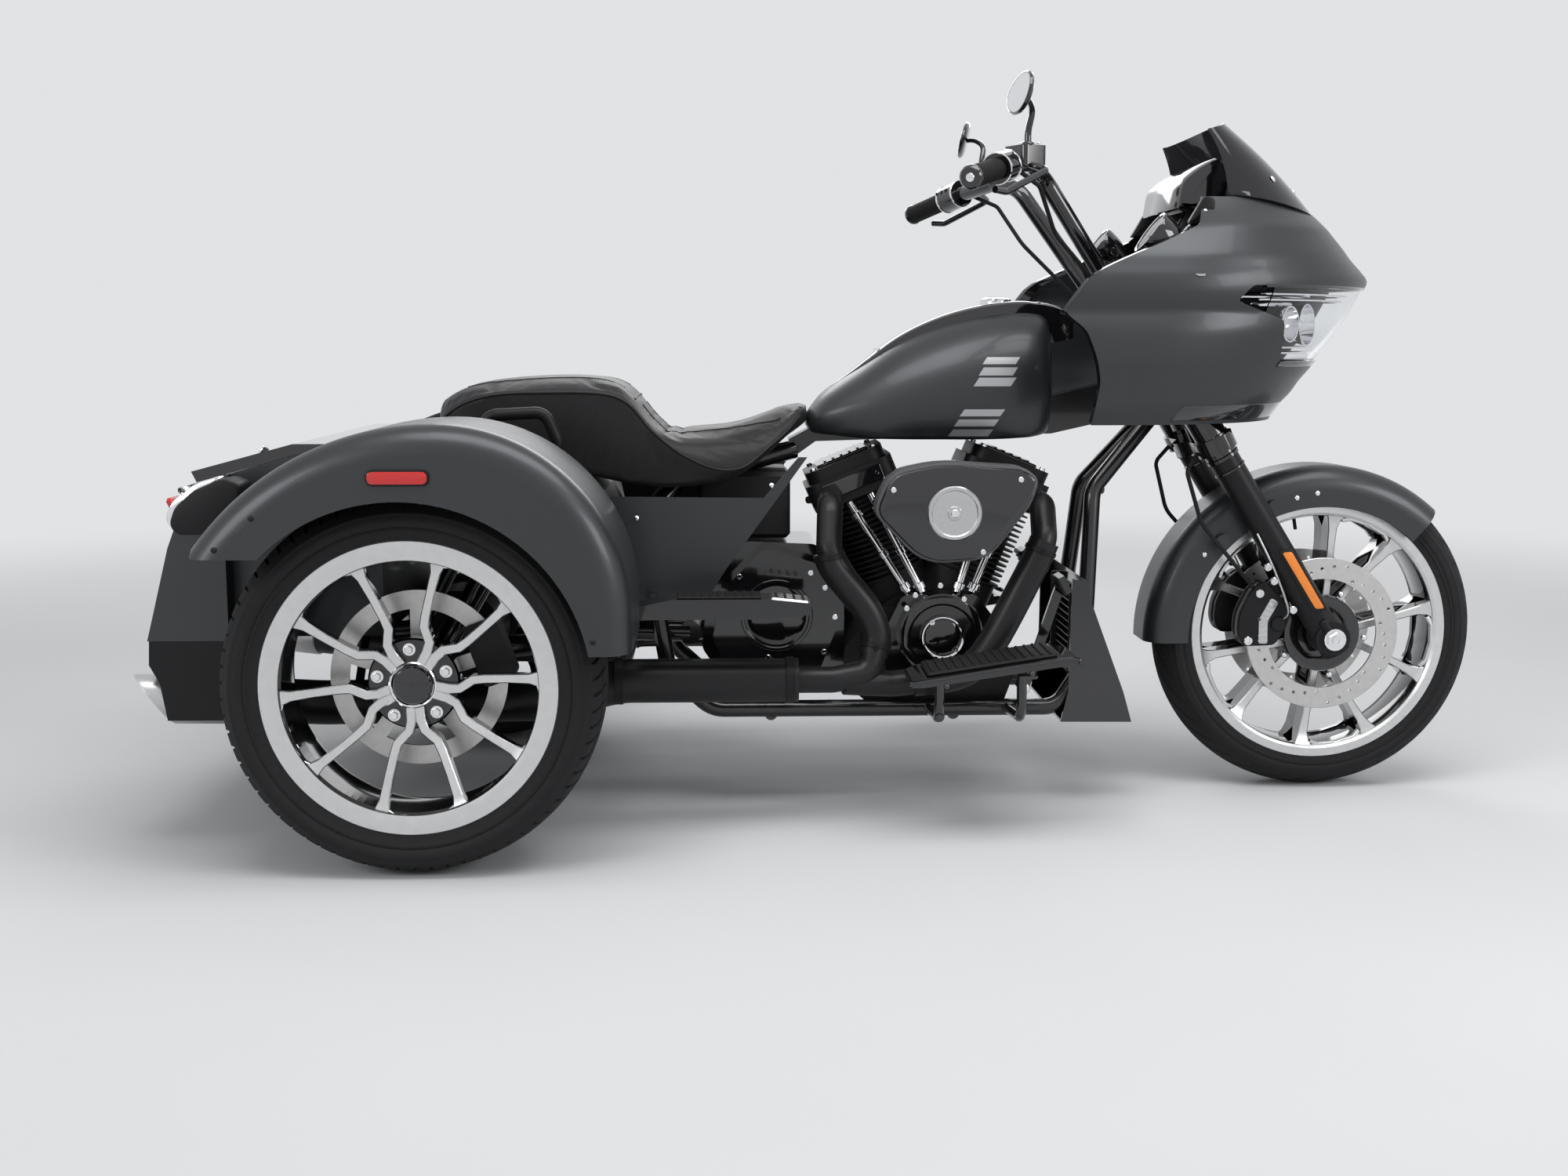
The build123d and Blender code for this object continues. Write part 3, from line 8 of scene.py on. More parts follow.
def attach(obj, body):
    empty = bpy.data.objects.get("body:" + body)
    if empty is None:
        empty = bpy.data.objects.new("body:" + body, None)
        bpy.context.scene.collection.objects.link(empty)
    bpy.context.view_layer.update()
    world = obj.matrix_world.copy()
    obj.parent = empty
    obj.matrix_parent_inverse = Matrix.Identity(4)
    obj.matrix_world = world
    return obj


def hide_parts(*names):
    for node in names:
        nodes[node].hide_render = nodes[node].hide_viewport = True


# Motorized trike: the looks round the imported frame. Lengths are in millimetres until MM turns them
# into Blender's metres. +X forward, +Y to the rider's left, +Z up.

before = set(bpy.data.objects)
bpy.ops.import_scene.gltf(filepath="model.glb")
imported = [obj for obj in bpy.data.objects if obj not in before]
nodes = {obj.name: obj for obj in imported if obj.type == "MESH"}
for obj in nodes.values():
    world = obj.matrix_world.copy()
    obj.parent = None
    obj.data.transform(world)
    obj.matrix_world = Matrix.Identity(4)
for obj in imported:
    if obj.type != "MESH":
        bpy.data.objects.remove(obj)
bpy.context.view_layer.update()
MM = 0.001
WELD = 0.001

# Camera, at the photograph's place
CAMERA_PLACE = (-0.2365, -3.505, 0.890)
CAMERA_YAW = math.radians(1.90)
CAMERA_PITCH = math.radians(7.96)
CAMERA_LENS = 41.0
SENSOR_WIDTH = 36.0


def make_camera():
    data = bpy.data.cameras.new("camera")
    data.lens = CAMERA_LENS
    data.sensor_width = SENSOR_WIDTH
    data.clip_start = 0.05
    data.clip_end = 60.0
    camera = bpy.data.objects.new("camera", data)
    bpy.context.scene.collection.objects.link(camera)
    camera.location = CAMERA_PLACE
    flat = math.cos(CAMERA_PITCH)
    look = Vector((math.sin(CAMERA_YAW) * flat, math.cos(CAMERA_YAW) * flat, -math.sin(CAMERA_PITCH)))
    camera.rotation_mode = "QUATERNION"
    camera.rotation_quaternion = look.to_track_quat("-Z", "Y")
    bpy.context.scene.camera = camera


# Light and floor, in metres and watts
BACKDROP = (0.84, 0.85, 0.87, 1)
BACKDROP_LEVEL = 0.90
OBJECT_LEVEL = 0.45
FLOOR_REACH = 14.0
FADE_FROM, FADE_TO = 1.7, 6.0
# Each lamp: its place, what it points at, its size and its power
STUDIO_LAMPS = {
    "overhead": ((0.3, -1.2, 3.4), (0.1, -0.1, 0.5), (3.6, 1.6), 78),
    "front_side": ((3.4, -2.6, 2.2), (0.5, -0.2, 0.5), (1.8, 1.4), 52),
    "rear_side": ((-3.2, -2.8, 1.9), (-0.6, -0.3, 0.4), (1.6, 1.4), 36),
    "far_side": ((0.2, 3.4, 2.4), (0.0, 0.2, 0.5), (3.0, 1.4), 40),
}


def area_light(name, place, target, size, energy):
    data = bpy.data.lights.new(name, "AREA")
    data.shape = "RECTANGLE"
    data.size, data.size_y = size
    data.energy = energy
    light = bpy.data.objects.new(name, data)
    bpy.context.scene.collection.objects.link(light)
    light.location = place
    light.rotation_mode = "QUATERNION"
    light.rotation_quaternion = (Vector(target) - Vector(place)).to_track_quat("-Z", "Y")


def make_stage():
    world = bpy.data.worlds.new("studio")
    world.use_nodes = True
    tree = world.node_tree
    background = tree.nodes["Background"]
    background.inputs["Color"].default_value = BACKDROP
    level = node(tree, "ShaderNodeMapRange", To_Min=OBJECT_LEVEL, To_Max=BACKDROP_LEVEL)
    tree.links.new(shown_rays(tree), level.inputs["Value"])
    tree.links.new(level.outputs["Result"], background.inputs["Strength"])
    bpy.context.scene.world = world
    bpy.context.scene.view_settings.view_transform = "Standard"
    for name, row in STUDIO_LAMPS.items():
        area_light(name, *row)
    mesh = bpy.data.meshes.new("floor")
    corners = [(x * FLOOR_REACH, y * FLOOR_REACH, 0) for x, y in ((-1, -1), (1, -1), (1, 1), (-1, 1))]
    mesh.from_pydata(corners, [], [(0, 1, 2, 3)])
    floor = bpy.data.objects.new("floor", mesh)
    bpy.context.scene.collection.objects.link(floor)
    mesh.materials.append(finish_stage())


def shown_rays(tree):
    """One for rays that show the background: seen directly, mirrored in metal or seen through glass."""
    path = tree.nodes.new("ShaderNodeLightPath")
    total = path.outputs["Is Camera Ray"]
    for kind in ("Is Glossy Ray", "Is Transmission Ray"):
        most = tree.nodes.new("ShaderNodeMath")
        most.operation = "MAXIMUM"
        tree.links.new(total, most.inputs[0])
        tree.links.new(path.outputs[kind], most.inputs[1])
        total = most.outputs[0]
    return total


def finish_stage():
    """A pale sheet that keeps the object's shadow and fades into the backdrop far away."""
    material = bpy.data.materials.new("floor_sheet")
    material.use_nodes = True
    tree = material.node_tree
    shader = tree.nodes["Principled BSDF"]
    shader.inputs["Roughness"].default_value = 0.85
    shader.inputs["Specular IOR Level"].default_value = 0.1
    noise = node(tree, "ShaderNodeTexNoise", Scale=30.0)
    ramp = tree.nodes.new("ShaderNodeMapRange")
    ramp.data_type = "FLOAT_VECTOR"
    ramp.inputs[9].default_value = (0.66, 0.67, 0.68)
    ramp.inputs[10].default_value = (0.72, 0.73, 0.74)
    tree.links.new(noise.outputs["Fac"], ramp.inputs[6])
    tree.links.new(ramp.outputs[1], shader.inputs["Base Color"])
    place = tree.nodes.new("ShaderNodeTexCoord")
    span = tree.nodes.new("ShaderNodeVectorMath")
    span.operation = "LENGTH"
    tree.links.new(place.outputs["Object"], span.inputs[0])
    fade = node(tree, "ShaderNodeMapRange", From_Min=FADE_FROM, From_Max=FADE_TO)
    fade.interpolation_type = "SMOOTHSTEP"
    tree.links.new(span.outputs["Value"], fade.inputs["Value"])
    share = tree.nodes.new("ShaderNodeMath")
    share.operation = "MULTIPLY"
    tree.links.new(fade.outputs["Result"], share.inputs[0])
    tree.links.new(shown_rays(tree), share.inputs[1])
    backdrop = node(tree, "ShaderNodeEmission", Color=BACKDROP, Strength=BACKDROP_LEVEL)
    mixed = tree.nodes.new("ShaderNodeMixShader")
    tree.links.new(share.outputs[0], mixed.inputs[0])
    tree.links.new(shader.outputs[0], mixed.inputs[1])
    tree.links.new(backdrop.outputs[0], mixed.inputs[2])
    tree.links.new(mixed.outputs[0], tree.nodes["Material Output"].inputs["Surface"])
    return material


# Finishes
BUMP_DEPTH = 0.0006
SMEAR_SCALE = 9.0


def node(tree, kind, **inputs):
    made = tree.nodes.new(kind)
    for name, value in inputs.items():
        made.inputs[name.replace("_", " ")].default_value = value
    return made


def finish(name, colour, metallic=0.0, roughness=0.5, spread=0.15, grain=300.0, bump=0.0, bump_grain=None,
           rough_spread=0.06, coat=0.0, sheen=0.0, transmission=0.0, ior=1.5, centre=None, cells=False,
           shine=0.5):
    """One procedural finish: mottled colour, uneven gloss and a fine grain in the surface."""
    material = bpy.data.materials.new(name)
    material.use_nodes = True
    tree = material.node_tree
    shader = tree.nodes["Principled BSDF"]
    for socket, value in (("Metallic", metallic), ("Coat Weight", coat), ("Coat Roughness", 0.06),
                          ("Sheen Weight", sheen), ("Transmission Weight", transmission), ("IOR", ior),
                          ("Specular IOR Level", shine)):
        shader.inputs[socket].default_value = value
    place = tree.nodes.new("ShaderNodeTexCoord")
    noise = node(tree, "ShaderNodeTexNoise", Scale=grain, Detail=4.0)
    tree.links.new(place.outputs["Object"], noise.inputs["Vector"])
    blend = tree.nodes.new("ShaderNodeMix")
    blend.data_type = "RGBA"
    blend.inputs[6].default_value = (*[max(0.0, c * (1 - spread)) for c in colour], 1)
    blend.inputs[7].default_value = (*[min(1.0, c * (1 + spread)) for c in colour], 1)
    tree.links.new(noise.outputs["Fac"], blend.inputs[0])
    tree.links.new(blend.outputs[2], shader.inputs["Base Color"])
    smear = node(tree, "ShaderNodeTexNoise", Scale=SMEAR_SCALE, Detail=3.0)
    tree.links.new(place.outputs["Object"], smear.inputs["Vector"])
    uneven = node(tree, "ShaderNodeMapRange", To_Min=max(0.02, roughness - rough_spread),
                  To_Max=roughness + rough_spread)
    tree.links.new(smear.outputs["Fac"], uneven.inputs["Value"])
    tree.links.new(uneven.outputs["Result"], shader.inputs["Roughness"])
    if bump:
        relief = node(tree, "ShaderNodeBump", Strength=bump, Distance=BUMP_DEPTH)
        source = place.outputs["Object"]
        if centre is not None:
            mapping = node(tree, "ShaderNodeMapping", Location=[-c * MM for c in centre])
            tree.links.new(source, mapping.inputs["Vector"])
            source = mapping.outputs["Vector"]
            lines = node(tree, "ShaderNodeTexWave", Scale=bump_grain or 200.0, Distortion=0.4)
            lines.wave_type = "RINGS"
            lines.rings_direction = "Y"
        elif cells:
            lines = node(tree, "ShaderNodeTexVoronoi", Scale=bump_grain or 400.0)
        else:
            lines = node(tree, "ShaderNodeTexNoise", Scale=bump_grain or 700.0, Detail=3.0)
        tree.links.new(source, lines.inputs["Vector"])
        tree.links.new(lines.outputs["Distance" if cells else "Fac"], relief.inputs["Height"])
        tree.links.new(relief.outputs["Normal"], shader.inputs["Normal"])
    return material


FRONT_CENTRE = (934.0, 0.0, 316.0)
REAR_X, REAR_Y, REAR_Z = -756.0, 520.0, 320.0

paint = finish("satin_paint", (0.050, 0.053, 0.056), metallic=0.72, roughness=0.38, spread=0.30,
               grain=1500.0, bump=0.05, bump_grain=1800.0, coat=0.12)
gloss = finish("gloss_black", (0.006, 0.006, 0.007), roughness=0.10, spread=0.2, grain=60.0, coat=0.8,
               rough_spread=0.03)
satin = finish("satin_black", (0.010, 0.010, 0.011), roughness=0.40, spread=0.2, grain=400.0, bump=0.06,
               shine=0.22)
cast = finish("engine_black", (0.009, 0.009, 0.010), roughness=0.44, spread=0.25, grain=500.0, bump=0.25,
              bump_grain=900.0, shine=0.25)
frame_black = finish("frame_black", (0.008, 0.008, 0.009), roughness=0.22, spread=0.2, grain=80.0, coat=0.4)
plastic = finish("black_plastic", (0.011, 0.011, 0.012), roughness=0.50, spread=0.2, grain=600.0, bump=0.12,
                 shine=0.2)
pipe_black = finish("pipe_black", (0.011, 0.011, 0.012), roughness=0.36, spread=0.25, grain=200.0,
                    bump=0.04, shine=0.3)
chrome = finish("chrome", (0.80, 0.80, 0.81), metallic=1.0, roughness=0.08, spread=0.05, grain=40.0,
                rough_spread=0.03)
steel = finish("brushed_steel", (0.56, 0.56, 0.56), metallic=1.0, roughness=0.30, spread=0.12, grain=240.0,
               bump=0.05)
# Turned faces, whose fine grooves run round their wheel's centre
MACHINED = dict(colour=(0.66, 0.66, 0.66), metallic=1.0, roughness=0.27, spread=0.08, grain=60.0, bump=0.10,
                bump_grain=260.0)
front_face = finish("front_machined", centre=FRONT_CENTRE, **MACHINED)
right_face = finish("right_machined", centre=(REAR_X, -REAR_Y, REAR_Z), **MACHINED)
left_face = finish("left_machined", centre=(REAR_X, REAR_Y, REAR_Z), **MACHINED)
disc_front = finish("front_disc_steel", (0.58, 0.57, 0.56), metallic=1.0, roughness=0.30, spread=0.12,
                    grain=90.0, bump=0.12, bump_grain=300.0, centre=FRONT_CENTRE)
disc_rear = finish("rear_disc_steel", (0.50, 0.49, 0.48), metallic=1.0, roughness=0.32, spread=0.15,
                   grain=90.0, bump=0.12, bump_grain=300.0, centre=(REAR_X, 0.0, REAR_Z))
rubber = finish("tyre_rubber", (0.016, 0.016, 0.017), shine=0.2, roughness=0.74, spread=0.25, grain=120.0,
                bump=0.2, bump_grain=800.0)
grip_rubber = finish("grip_rubber", (0.011, 0.011, 0.011), shine=0.2, roughness=0.66, spread=0.2,
                     grain=300.0, bump=0.2)
vinyl = finish("seat_vinyl", (0.011, 0.011, 0.012), shine=0.25, roughness=0.44, spread=0.22, grain=260.0,
               bump=0.35, bump_grain=520.0, cells=True, sheen=0.05)
thread = finish("seat_thread", (0.05, 0.05, 0.052), roughness=0.7, spread=0.3, grain=900.0, bump=0.2)
smoke = finish("smoked_screen", (0.035, 0.035, 0.038), roughness=0.06, spread=0.1, grain=30.0,
               rough_spread=0.02, transmission=0.55, ior=1.45)
lens = finish("lamp_glass", (0.96, 0.97, 0.98), roughness=0.03, spread=0.02, grain=30.0, rough_spread=0.01,
              transmission=1.0, ior=1.35)
red_lens = finish("red_lens", (0.55, 0.012, 0.010), roughness=0.12, spread=0.15, grain=240.0, bump=0.4,
                  bump_grain=330.0, cells=True, coat=0.6)
amber_lens = finish("amber_lens", (0.85, 0.23, 0.012), roughness=0.16, spread=0.12, grain=240.0, bump=0.5,
                    bump_grain=420.0, cells=True, coat=0.6)
mirror_glass = finish("mirror_glass", (0.82, 0.83, 0.84), metallic=1.0, roughness=0.03, spread=0.02,
                      grain=20.0, rough_spread=0.01)
stripe = finish("stripe_silver", (0.46, 0.47, 0.48), metallic=0.6, roughness=0.34, spread=0.15, grain=900.0)
mesh_grey = finish("speaker_mesh", (0.10, 0.10, 0.105), metallic=0.4, roughness=0.5, spread=0.4,
                   grain=700.0, bump=0.8, bump_grain=420.0, cells=True)


# Building in millimetres
UP, RIGHT = (0, 0, 1), (0, -1, 0)


def spline(points, count, closed=False):
    """Evenly stepped points on a smooth curve through the given ones."""
    rows = [Vector(p) for p in points]
    total = len(rows)
    found = []
    spans = total if closed else total - 1
    for step in range(count if closed else count + 1):
        t = step / count * spans
        index = min(int(t), spans - 1)
        t -= index
        if closed:
            a, b, c, d = (rows[(index + k) % total] for k in (-1, 0, 1, 2))
        else:
            a, b, c, d = (rows[min(max(index + k, 0), total - 1)] for k in (-1, 0, 1, 2))
        bend = 2 * a - 5 * b + 4 * c - d
        twist = 3 * b - a - 3 * c + d
        found.append(0.5 * (2 * b + (c - a) * t + bend * t * t + twist * t ** 3))
    return found


def rounded(corners, radii, steps=5):
    """A closed outline whose corners are turned into arcs."""
    if not hasattr(radii, "__len__"):
        radii = [radii] * len(corners)
    found = []
    for index, corner in enumerate(corners):
        here = Vector(corner)
        back = Vector(corners[index - 1]) - here
        ahead = Vector(corners[(index + 1) % len(corners)]) - here
        reach = min(radii[index], back.length * 0.48, ahead.length * 0.48)
        start = here + back.normalized() * reach
        end = here + ahead.normalized() * reach
        for step in range(steps + 1):
            t = step / steps
            found.append(start * (1 - t) ** 2 + here * 2 * t * (1 - t) + end * t * t)
    return found


def inset(outline, distance):
    """A closed flat outline drawn in by a distance."""
    total = len(outline)
    area = sum(outline[k - 1][0] * outline[k][1] - outline[k][0] * outline[k - 1][1] for k in range(total))
    turn = 1 if area > 0 else -1
    found = []
    for index in range(total):
        before = (outline[index] - outline[index - 1])
        after = (outline[(index + 1) % total] - outline[index])
        if before.length < 1e-6:
            before = after
        if after.length < 1e-6:
            after = before
        along = before.normalized() + after.normalized()
        if along.length < 1e-6:
            along = after
        along.normalize()
        found.append(outline[index] + Vector((-along[1], along[0])) * distance * turn)
    return found


def circle(place, frame_of, radius, height, segments):
    """Points round an axis, at a height above a place."""
    found = []
    for step in range(segments):
        angle = 2 * math.pi * step / segments
        found.append(place + frame_of @ Vector((radius * math.cos(angle), radius * math.sin(angle),
                                                height)))
    return found


class Build:
    """Collects the faces of one piece and the finish of each."""

    def __init__(self):
        self.bm = bmesh.new()
        self.finishes = []
        self.index = 0

    def use(self, chosen):
        if chosen not in self.finishes:
            self.finishes.append(chosen)
        self.index = self.finishes.index(chosen)
        return self

    def quads(self, rings, closed=True, looped=False, caps=True):
        """Skin a row of rings that have the same number of points."""
        rows = [[self.bm.verts.new(p) for p in ring] for ring in rings]
        total = len(rows[0])
        pairs = list(zip(rows, rows[1:]))
        if looped:
            pairs.append((rows[-1], rows[0]))
        for low, high in pairs:
            for k in range(total if closed else total - 1):
                self.face(low[k], low[(k + 1) % total], high[(k + 1) % total], high[k])
        if caps and closed and not looped:
            self.face(*reversed(rows[0]))
            self.face(*rows[-1])
        return rows

    def face(self, *verts):
        different = []
        for vert in verts:
            if vert not in different:
                different.append(vert)
        if len(different) > 2:
            try:
                self.bm.faces.new(different).material_index = self.index
            except ValueError:
                pass

    def turned(self, profile, centre, axis=(0, 1, 0), segments=48):
        """A ring from a closed (radius, height) profile turned about an axis."""
        frame_of = axis_frame(axis)
        up = frame_of @ Vector((0, 0, 1))
        rings = []
        for step in range(segments):
            angle = math.radians(360.0 * step / segments)
            flat = frame_of @ Vector((math.cos(angle), math.sin(angle), 0))
            rings.append([Vector(centre) + flat * r + up * h for r, h in profile])
        self.quads(rings, looped=True)
        return self

    def rod(self, start, end, radius, end_radius=None, segments=16, chamfer=0.0):
        """A round bar, with chamfered ends if asked."""
        start, end = Vector(start), Vector(end)
        length = (end - start).length
        last = radius if end_radius is None else end_radius
        profile = [(max(radius - chamfer, 0.01), 0.0)]
        if chamfer:
            profile += [(radius, chamfer), (last, length - chamfer)]
        profile.append((max(last - chamfer, 0.01), length))
        frame_of = axis_frame(end - start)
        self.quads([circle(start, frame_of, r, h, segments) for r, h in profile])
        return self

    def tube(self, points, radius, segments=12, count=None):
        """A round tube along a smooth line; the radius may change along it."""
        line = spline(points, count or max(8, 6 * (len(points) - 1)))
        frame_of = axis_frame(line[1] - line[0])
        rings = []
        for index, place in enumerate(line):
            ahead = line[min(index + 1, len(line) - 1)] - line[max(index - 1, 0)]
            turn = (frame_of @ Vector((0, 0, 1))).rotation_difference(ahead.normalized())
            frame_of = turn.to_matrix() @ frame_of
            r = radius(index / (len(line) - 1)) if callable(radius) else radius
            rings.append(circle(place, frame_of, r, 0, segments))
        self.quads(rings)
        return self

    def prism(self, outline, y_low, y_high, bevel=0.0):
        """An (x, z) outline carried across, with its edges rounded off."""
        flat = [Vector(p) for p in outline]
        steps = [(y_low, 0.0), (y_high, 0.0)]
        if bevel:
            steps = [(y_low, bevel), (y_low + bevel * 0.3, bevel * 0.3), (y_low + bevel, 0.0),
                     (y_high - bevel, 0.0), (y_high - bevel * 0.3, bevel * 0.3), (y_high, bevel)]
        rings = []
        for y, draw in steps:
            ring = inset(flat, draw) if draw else flat
            rings.append([Vector((p[0], y, p[1])) for p in ring])
        self.quads(rings)
        return self

    def plate(self, outline, side, near, far, bevel):
        """A prism on one side, between two distances from the middle plane."""
        return self.prism(outline, *sorted((side * near, side * far)), bevel)

    def slab(self, centre, size, rotation=None, bevel=2.0):
        """A box with rounded edges, turned by a matrix."""
        half = [s / 2 for s in size]
        corners = [(-half[0], -half[1]), (half[0], -half[1]), (half[0], half[1]), (-half[0], half[1])]
        outline = rounded(corners, bevel * 1.6, 3)
        rings = []
        for h, draw in ((-half[2], bevel), (-half[2] + bevel, 0), (half[2] - bevel, 0), (half[2], bevel)):
            ring = inset(outline, draw) if draw else outline
            points = [Vector((p[0], p[1], h)) for p in ring]
            rings.append([Vector(centre) + (rotation @ p if rotation else p) for p in points])
        self.quads(rings)
        return self

    def ball(self, centre, radii, rotation=None, segments=20, rows=12):
        rings = []
        for row in range(1, rows):
            lift = math.pi * row / rows - math.pi / 2
            ring = []
            for step in range(segments):
                angle = 2 * math.pi * step / segments
                p = Vector((math.cos(angle) * math.cos(lift) * radii[0],
                            math.sin(angle) * math.cos(lift) * radii[1], math.sin(lift) * radii[2]))
                ring.append(Vector(centre) + (rotation @ p if rotation else p))
            rings.append(ring)
        self.quads(rings)
        return self

    def bolt(self, place, axis, radius, height, kind="hex"):
        """A bolt head: hexagonal with a washer, socket with a hollow, or a dome."""
        frame_of = axis_frame(axis)
        place = Vector(place)

        def skin(sides, *rows):
            self.quads([circle(place, frame_of, radius * r, height * h, sides) for r, h in rows])

        if kind == "hex":
            skin(16, (1.25, 0), (1.25, 0.2))
            skin(6, (1, 0.2), (1, 0.85), (0.86, 1))
        elif kind == "socket":
            skin(18, (1, 0), (1, 0.85), (0.88, 1), (0.52, 1), (0.50, 0.4))
        else:
            skin(14, (1, 0), (0.94, 0.4), (0.68, 0.8), (0.30, 1))
        return self

    def loose(self, name):
        """The collected faces as a welded mesh in metres, on no body."""
        bmesh.ops.remove_doubles(self.bm, verts=self.bm.verts, dist=WELD)
        bmesh.ops.recalc_face_normals(self.bm, faces=self.bm.faces)
        bmesh.ops.scale(self.bm, vec=(MM, MM, MM), verts=self.bm.verts)
        mesh = bpy.data.meshes.new(name)
        self.bm.to_mesh(mesh)
        self.bm.free()
        made = bpy.data.objects.new(name, mesh)
        bpy.context.scene.collection.objects.link(made)
        return made

    def done(self, name, body, replaces=(), slot=None, smooth=35.0):
        """Turn the collected faces into a piece that rides on its body."""
        made = self.loose(name)
        for chosen in self.finishes:
            made.data.materials.append(chosen)
        shade(made, smooth)
        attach(made, body)
        if replaces:
            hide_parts(*replaces)
        return made


def shade(made, degrees):
    """Smooth shading that stays crisp at edges sharper than an angle."""
    mesh = made.data
    for polygon in mesh.polygons:
        polygon.use_smooth = True
    mesh.set_sharp_from_angle(angle=math.radians(degrees))


def axis_frame(axis):
    """A matrix whose third column points along an axis."""
    return Vector(axis).to_track_quat("Z", "X").to_matrix()


def about_y(degrees):
    return Matrix.Rotation(math.radians(degrees), 3, "Y")


def polar(centre, radius, degrees, y=None):
    """A point round a wheel's centre, in the plane of a given y."""
    angle = math.radians(degrees)
    return Vector((centre[0] + radius * math.cos(angle), centre[1] if y is None else y,
                   centre[2] + radius * math.sin(angle)))


def settle(made, layers=True):
    """Apply the piece's modifiers to its mesh."""
    bpy.context.view_layer.update()
    graph = bpy.context.evaluated_depsgraph_get()
    finished = made.evaluated_get(graph)
    mesh = bpy.data.meshes.new_from_object(finished, preserve_all_data_layers=layers, depsgraph=graph)
    made.modifiers.clear()
    made.data = mesh


def cut(target, build, degrees):
    """Cut the collected faces out of a piece for good."""
    tool = build.loose("tool")
    step = target.modifiers.new("cut", "BOOLEAN")
    step.operation = "DIFFERENCE"
    step.solver = "EXACT"
    step.object = tool
    settle(target, False)
    bpy.data.objects.remove(tool, do_unlink=True)
    shade(target, degrees)


def mirrored(x, side, first=0, last=None):
    """An upright section at x from the (y, z) rows of one side; first and last leave out middle points."""
    left = [Vector((x, y, z)) for y, z in reversed(side[first:last])]
    return [Vector((x, -y, z)) for y, z in side] + left


def smooth_step(t):
    t = min(max(t, 0.0), 1.0)
    return t * t * (3 - 2 * t)


def along(table, value):
    """Read a table of rows, each with its place first, smoothly at a place."""
    if value <= table[0][0]:
        return list(table[0][1:])
    for low, high in zip(table, table[1:]):
        if value <= high[0]:
            index = table.index(low)
            before = table[max(index - 1, 0)]
            after = table[min(index + 2, len(table) - 1)]
            span = high[0] - low[0]
            t = (value - low[0]) / span
            found = []
            for column in range(1, len(low)):
                slope_low = slope(before, high, column) if before is not low else slope(low, high, column)
                slope_high = slope(low, after, column) if after is not high else slope(low, high, column)
                a, b = low[column], high[column]
                found.append(
                    a * (1 + 2 * t) * (1 - t) ** 2 + b * t * t * (3 - 2 * t)
                    + slope_low * span * t * (1 - t) ** 2 - slope_high * span * t * t * (1 - t)
                )
            return found
    return list(table[-1][1:])


def slope(low, high, column):
    return (high[column] - low[column]) / (high[0] - low[0])


# Fairing
# Level sections: height, back edge, end of the flat side, nose, half width, nose radius
FAIRING = [
    (735, 422, 470, 832, 305, 100), (763, 424, 482, 847, 326, 100), (786, 427, 494, 869, 334, 100),
    (810, 430, 504, 886, 339, 98), (832, 427, 512, 906, 343, 96), (851, 423, 520, 921, 345, 94),
    (880, 413, 530, 946, 345, 90), (905, 401, 538, 966, 343, 86), (926, 377, 544, 981, 337, 82),
    (938, 367, 548, 988, 333, 80), (952, 374, 552, 995, 336, 78), (975, 391, 556, 1007, 338, 74),
    (999, 412, 560, 1017, 334, 70), (1018, 446, 572, 1003, 326, 70), (1040, 496, 588, 981, 316, 70),
    (1060, 545, 598, 965, 302, 70), (1078, 584, 610, 948, 288, 70), (1092, 614, 625, 934, 275, 70),
    (1108, 622, 632, 918, 255, 70), (1126, 628, 640, 897, 234, 66), (1146, 632, 646, 870, 214, 60),
]
FAIRING_LOW, FAIRING_HIGH = 735, 1146
# Points along the flat side, the curve to the nose and the nose itself, on one side
OUTLINE_STEPS = (8, 26, 12)
# Side view of the lamp's opening: place and height
LAMP = [(676, 956), (706, 984), (1060, 984), (1060, 846), (776, 846), (776, 922)]


def level_outline(z, draw=0.0):
    """The fairing's outline at a height, from its right back edge round the nose to the left."""
    x_rear, x_shoulder, x_nose, half, nose_r = along(FAIRING, z)
    x_nose, half, nose_r = x_nose - draw, half - draw, nose_r - draw
    back = x_nose - nose_r - x_shoulder
    rise = half - nose_r
    shrink = (back * back + rise * rise) / (2 * rise)
    side_r = nose_r + shrink
    angle = math.atan2(shrink - rise, back)
    half_side = []
    for k in range(OUTLINE_STEPS[0]):
        half_side.append((x_rear + (x_shoulder - x_rear) * k / OUTLINE_STEPS[0], half))
    for k in range(OUTLINE_STEPS[1]):
        a = math.pi / 2 + (angle - math.pi / 2) * k / OUTLINE_STEPS[1]
        half_side.append((x_shoulder + side_r * math.cos(a), half - side_r + side_r * math.sin(a)))
    for k in range(OUTLINE_STEPS[2]):
        a = angle * (1 - k / OUTLINE_STEPS[2])
        half_side.append((x_nose - nose_r + nose_r * math.cos(a), nose_r * math.sin(a)))
    points = [Vector((x, -y, z)) for x, y in half_side] + [Vector((x_nose, 0, z))]
    return points + [Vector((x, y, z)) for x, y in reversed(half_side)]


def sheet_from(build, outer, inner):
    """Close two matching grids of points into a thin sheet."""
    build.quads(outer, closed=False, caps=False)
    build.quads(inner, closed=False, caps=False)
    for rows in ((outer[0], inner[0]), (outer[-1], inner[-1])):
        build.quads(list(rows), closed=False, caps=False)
    for end in (0, -1):
        build.quads([[row[end] for row in outer], [row[end] for row in inner]], closed=False, caps=False)


def heights(low, high, step):
    count = max(1, round((high - low) / step))
    return [low + (high - low) * k / count for k in range(count + 1)]


def evened(rows):
    """Trim rows to the same number of points, evenly at both ends."""
    count = min(len(row) for row in rows)
    return [row[(len(row) - count) // 2:(len(row) - count) // 2 + count] for row in rows]


